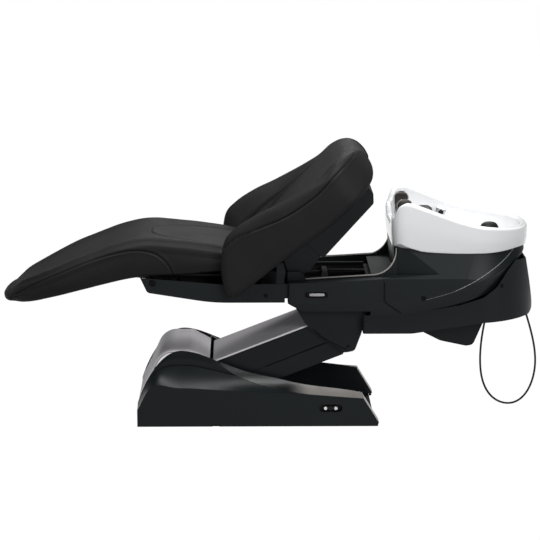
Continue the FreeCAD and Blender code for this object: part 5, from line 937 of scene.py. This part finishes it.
# Shower hose: x and z of its route in millimetres, in the plane y
HOSE_Y = -60
HOSE_ROUTE = (
    (892, 412), (881, 352), (872, 286), (869, 214), (876, 146), (897, 91), (932, 53), (978, 37), (1022, 47),
    (1057, 83), (1079, 136), (1088, 198), (1083, 262), (1069, 324), (1053, 378), (1038, 424))


class BED_OT_hose(Operator):
    """Shower hose hanging in a slack loop under the skirt."""

    bl_idname = "wash_bed.hose"
    bl_label = "Shower Hose"

    def execute(self, context):
        sizes = context.scene.wash_bed_sizes
        curve = bpy.data.curves.new("shower_hose_loop", "CURVE")
        curve.dimensions = "3D"
        spline = curve.splines.new("NURBS")
        spline.points.add(len(HOSE_ROUTE) - 1)
        for point, (x, z) in zip(spline.points, HOSE_ROUTE):
            point.co = (x * MM, HOSE_Y * MM, z * MM, 1.0)
        spline.order_u = 3
        spline.use_endpoint_u = True
        spline.resolution_u = 12
        curve.bevel_depth = sizes.hose_diameter / 2
        curve.bevel_resolution = 4
        curve.use_fill_caps = True
        curve.materials.append(FINISHES["hose"])
        obj = bpy.data.objects.new("shower_hose_loop", curve)
        bpy.context.scene.collection.objects.link(obj)
        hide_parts("shower_hose")
        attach(obj, "bed_frame")
        return {"FINISHED"}


# Details on the covers

CAP_DEPTH = 0.002
# Caps on both sides: name, body, nodes they lie on, x, z, radius
CAPS = (
    ("undercover_cap", "seat", ("seat_undercover",), -0.400, 0.570, 0.0145),
    ("undercover_screw", "seat", ("seat_undercover",), 0.029, 0.519, 0.0085),
    ("bracket_screw", "bed_frame", ("bracket_covers",), 0.346, 0.302, 0.0055),
    ("tub_plug", "bed_frame", ("tub_shell", "rail_cover_left"), 0.628, 0.509, 0.0110),
    ("skirt_knob", "bed_frame", ("tub_skirt",), 0.927, 0.546, 0.0090))
# Dark joints between covers, and a pale line that paints the highlight on the tub's crease, on both sides: name,
# body, nodes they lie on, radius, finish, points as x, z
JOINTS = (
    ("bracket_edge_joint", "bed_frame", ("bracket_covers",), 0.0020, "void",
     ((0.211, 0.370), (0.226, 0.357), (0.242, 0.343), (0.265, 0.328), (0.288, 0.315), (0.318, 0.299),
      (0.343, 0.287))),
    ("arm_cover_joint", "lower_arm", ("upper_arm_sides", "lower_arm_cover"), 0.0020, "void",
     ((0.030, 0.2195), (0.104, 0.248), (0.181, 0.280), (0.262, 0.313))),
    ("rail_cover_joint", "bed_frame", ("rail_cover_left", "tub_shell"), 0.0020, "void",
     ((0.478, 0.572), (0.480, 0.533), (0.482, 0.497), (0.511, 0.469), (0.544, 0.444))),
    # Painted highlight along the tub's lower crease
    ("tub_edge_line", "bed_frame", ("tub_shell", "tub_skirt"), 0.0016, "edge",
     ((0.627, 0.498), (0.729, 0.528), (0.805, 0.563), (0.880, 0.606), (0.936, 0.644), (0.984, 0.684))),
)
# Pale edge of the hood as x, z, and its distance from the middle
HOOD_LINE = (
    (-0.400, 0.245), (-0.366, 0.266), (-0.331, 0.276), (-0.290, 0.279), (-0.243, 0.279), (-0.212, 0.271),
    (-0.181, 0.255), (-0.147, 0.232))
HOOD_EDGE_Y, HOOD_EDGE_RADIUS = 0.1865, 0.0022
HOOD_NODES = ("base_hood", "side_fairing_left", "side_fairing_right")
# Badge place: name, centre, half sizes and finish of its recess and its bare plate
BADGE = (
    ("badge_recess", (0.2205, -0.2585, 0.5225), (0.0435, 0.0015, 0.0115), "void"),
    ("badge_plate", (0.2225, -0.2595, 0.5230), (0.0290, 0.0017, 0.0052), "plate"))
SLAB_POWER = 5.0


def on_skin(nodes, x, z, side):
    """Place where a line along the cross axis from outside meets the first of the nodes at x, z, or None."""
    best = None
    for name in nodes:
        hit, point, _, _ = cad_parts[name].ray_cast((x, side * 0.6, z), (0, -side, 0))
        if hit and (best is None or side * (point[1] - best) > 0):
            best = point[1]
    return best


def on_top(nodes, x, y, z):
    """Height where a line from above meets the highest of the nodes at x, y, or z where it meets none."""
    best = None
    for name in nodes:
        hit, point, _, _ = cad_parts[name].ray_cast((x, y, 0.6), (0, 0, -1))
        if hit and (best is None or point[2] > best):
            best = point[2]
    return z if best is None else best


def add_caps(j, side):
    """Caps, screws and knobs on the covers of one side."""
    for name, body, nodes, x, z, radius in CAPS:
        y = on_skin(nodes, x, z, side)
        if y is None:
            raise RuntimeError("no cover under " + name)
        cap = side_cap("%s_%d" % (name, j), (x, y, z), radius, CAP_DEPTH, side, FINISHES["void"])
        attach(cap, body)


def add_joints(j, side):
    """Dark joints, and the pale line that paints the highlight on the tub's crease, on the covers of one side,
    each where it meets a cover.
    """
    for name, body, nodes, radius, look, points in JOINTS:
        places = [(x, on_skin(nodes, x, z, side), z) for x, z in line_through(points, 8)]
        path = [place for place in places if place[1] is not None]
        strip = tube_along("%s_%d" % (name, j), path, radius, FINISHES[look], 8)
        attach(strip, body)


def add_hood_edge(j, side):
    """Pale line along the upper edge of the hood."""
    y = side * HOOD_EDGE_Y
    path = [(x, y, on_top(HOOD_NODES, x, y, z)) for x, z in line_through(HOOD_LINE, 8)]
    bead = tube_along("hood_edge_line_%d" % j, path, HOOD_EDGE_RADIUS, FINISHES["trim"], 8)
    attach(bead, "base")


class BED_OT_details(Operator):
    """Caps, joints, hood edges and the bare badge place on the covers."""

    bl_idname = "wash_bed.details"
    bl_label = "Cover Details"

    def execute(self, context):
        for j, side in enumerate(SIDES):
            add_caps(j, side)
            add_joints(j, side)
            add_hood_edge(j, side)
        for name, centre, size, look in BADGE:
            obj = pillow(name, centre, size, FINISHES[look], power=SLAB_POWER)
            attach(obj, "bed_frame")
        return {"FINISHED"}


# Stage

FLOOR_HALF = 14.0
FLOOR_GREY, FLOOR_ROUGHNESS = 0.16, 0.8
# Emission that camera and glossy rays see in place of the floor, and its strength
FLOOR_SEEN, FLOOR_STRENGTH = 0.97, 1.04
WORLD_LIGHT, WORLD_SEEN = 0.19, 1.0
# Area lamps: name, place, aim, watts, width, depth
LAMPS = (
    ("top_soft", (-0.2, -1.1, 4.3), (0.1, 0.0, 0.6), 265, 3.4, 1.8),
    ("front_soft", (2.6, -4.4, 2.3), (0.2, 0.0, 0.6), 122, 2.2, 1.8),
    ("rear_soft", (0.6, 3.2, 3.4), (0.0, 0.0, 0.7), 60, 3.0, 1.2))
# Camera: focal length and image width in pixels, sensor width in millimetres, distance, height and side angle
FOCAL_PIXELS, IMAGE_PIXELS, SENSOR = 2048, 540, 36.0
CAMERA_DISTANCE = 8.0
CAMERA_RISE, CAMERA_YAW = math.radians(12.0), math.radians(0.7)
CAMERA_TARGET = (0.0478, 0.0, 0.5647)
CLIP_END = 60


def add_floor():
    """Floor that camera and glossy rays see as white; the shadow stays in the share that isn't emission."""
    material = bpy.data.materials.new("White studio floor")
    material.use_nodes = True
    tree = material.node_tree
    shader = tree.nodes["Principled BSDF"]
    shader.inputs["Base Color"].default_value = (FLOOR_GREY, FLOOR_GREY, FLOOR_GREY, 1)
    shader.inputs["Roughness"].default_value = FLOOR_ROUGHNESS
    white = add_node(tree, "ShaderNodeEmission", Strength=FLOOR_STRENGTH)
    path = tree.nodes.new("ShaderNodeLightPath")
    seen = tree.nodes.new("ShaderNodeMath")
    seen.operation = "MAXIMUM"
    part = tree.nodes.new("ShaderNodeMath")
    part.operation = "MULTIPLY"
    part.inputs[1].default_value = FLOOR_SEEN
    mix = tree.nodes.new("ShaderNodeMixShader")
    wire(tree, (path, "Is Camera Ray", seen, 0), (path, "Is Glossy Ray", seen, 1), (seen, "Value", part, 0),
         (part, "Value", mix, "Fac"), (shader, "BSDF", mix, 1), (white, "Emission", mix, 2),
         (mix, "Shader", tree.nodes["Material Output"], "Surface"))
    size = FLOOR_HALF
    corners = [(-size, -size, 0), (size, -size, 0), (size, size, 0), (-size, size, 0)]
    floor = add_object("studio_floor", corners, [(0, 1, 2, 3)], material, False)


def add_world(scene):
    """World that the camera sees as white and that lights the bed softly."""
    world = bpy.data.worlds.new("Studio")
    scene.world = world
    world.use_nodes = True
    back = world.node_tree.nodes["Background"]
    back.inputs["Color"].default_value = (1, 1, 1, 1)
    ray = world.node_tree.nodes.new("ShaderNodeLightPath")
    level = map_range(world.node_tree, ray.outputs["Is Camera Ray"], 0.0, 1.0, WORLD_LIGHT, WORLD_SEEN)
    world.node_tree.links.new(level, back.inputs["Strength"])


def aim_euler(direction):
    """Euler turn that points an object's -Z along a direction."""
    d = direction / np.linalg.norm(direction)
    pitch = math.acos(max(-1.0, min(1.0, -d[2])))
    heading = math.atan2(d[0], d[1])
    return (pitch, 0.0, -heading)


def add_lamp(scene, name, place, aim, power, width, depth):
    """Soft rectangular lamp that points at its aim."""
    data = bpy.data.lights.new(name, "AREA")
    data.shape = "RECTANGLE"
    data.size = width
    data.size_y = depth
    data.energy = power
    obj = bpy.data.objects.new(name, data)
    scene.collection.objects.link(obj)
    obj.location = place
    obj.rotation_euler = aim_euler(np.array(aim) - np.array(place))


def add_camera(scene):
    """Camera at the photograph's angle and distance."""
    cam = bpy.data.cameras.new("Camera")
    cam.sensor_width = SENSOR
    cam.lens = FOCAL_PIXELS / IMAGE_PIXELS * SENSOR
    cam.clip_end = CLIP_END
    eye = bpy.data.objects.new("Camera", cam)
    scene.collection.objects.link(eye)
    forward = np.array([math.sin(CAMERA_YAW) * math.cos(CAMERA_RISE),
                        math.cos(CAMERA_YAW) * math.cos(CAMERA_RISE), -math.sin(CAMERA_RISE)])
    eye.location = np.array(CAMERA_TARGET) - CAMERA_DISTANCE * forward
    eye.rotation_euler = (math.pi / 2 - CAMERA_RISE, 0.0, -CAMERA_YAW)
    scene.camera = eye


class BED_OT_stage(Operator):
    """Floor, world, lamps and the camera at the photograph's angle."""

    bl_idname = "wash_bed.stage"
    bl_label = "Stage"

    def execute(self, context):
        scene = context.scene
        add_floor()
        add_world(scene)
        for lamp in LAMPS:
            add_lamp(scene, *lamp)
        add_camera(scene)
        scene.view_settings.view_transform = "Standard"
        return {"FINISHED"}


class BED_PT_panel(Panel):
    """Sidebar panel that lists the bed's operators."""

    bl_idname = "BED_PT_panel"
    bl_label = "Hair Washing Bed"
    bl_space_type = "VIEW_3D"
    bl_region_type = "UI"
    bl_category = "Wash Bed"

    def draw(self, context):
        column = self.layout.column()
        for cls in STEPS:
            column.operator(cls.bl_idname)


STEPS = (BED_OT_finishes, BED_OT_seat, BED_OT_back, BED_OT_basin, BED_OT_fittings, BED_OT_hose, BED_OT_details,
         BED_OT_stage)
CLASSES = (BedSizes, BedColours) + STEPS + (BED_PT_panel,)


def register():
    for cls in CLASSES:
        bpy.utils.register_class(cls)
    bpy.types.Scene.wash_bed_sizes = PointerProperty(type=BedSizes)
    bpy.types.Scene.wash_bed_colours = PointerProperty(type=BedColours)


def unregister():
    del bpy.types.Scene.wash_bed_colours
    del bpy.types.Scene.wash_bed_sizes
    for cls in reversed(CLASSES):
        bpy.utils.unregister_class(cls)


def main():
    """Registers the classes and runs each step."""
    register()
    for name in ("finishes", "seat", "back", "basin", "fittings", "hose", "details", "stage"):
        getattr(bpy.ops.wash_bed, name)()


if __name__ == "__main__":
    main()
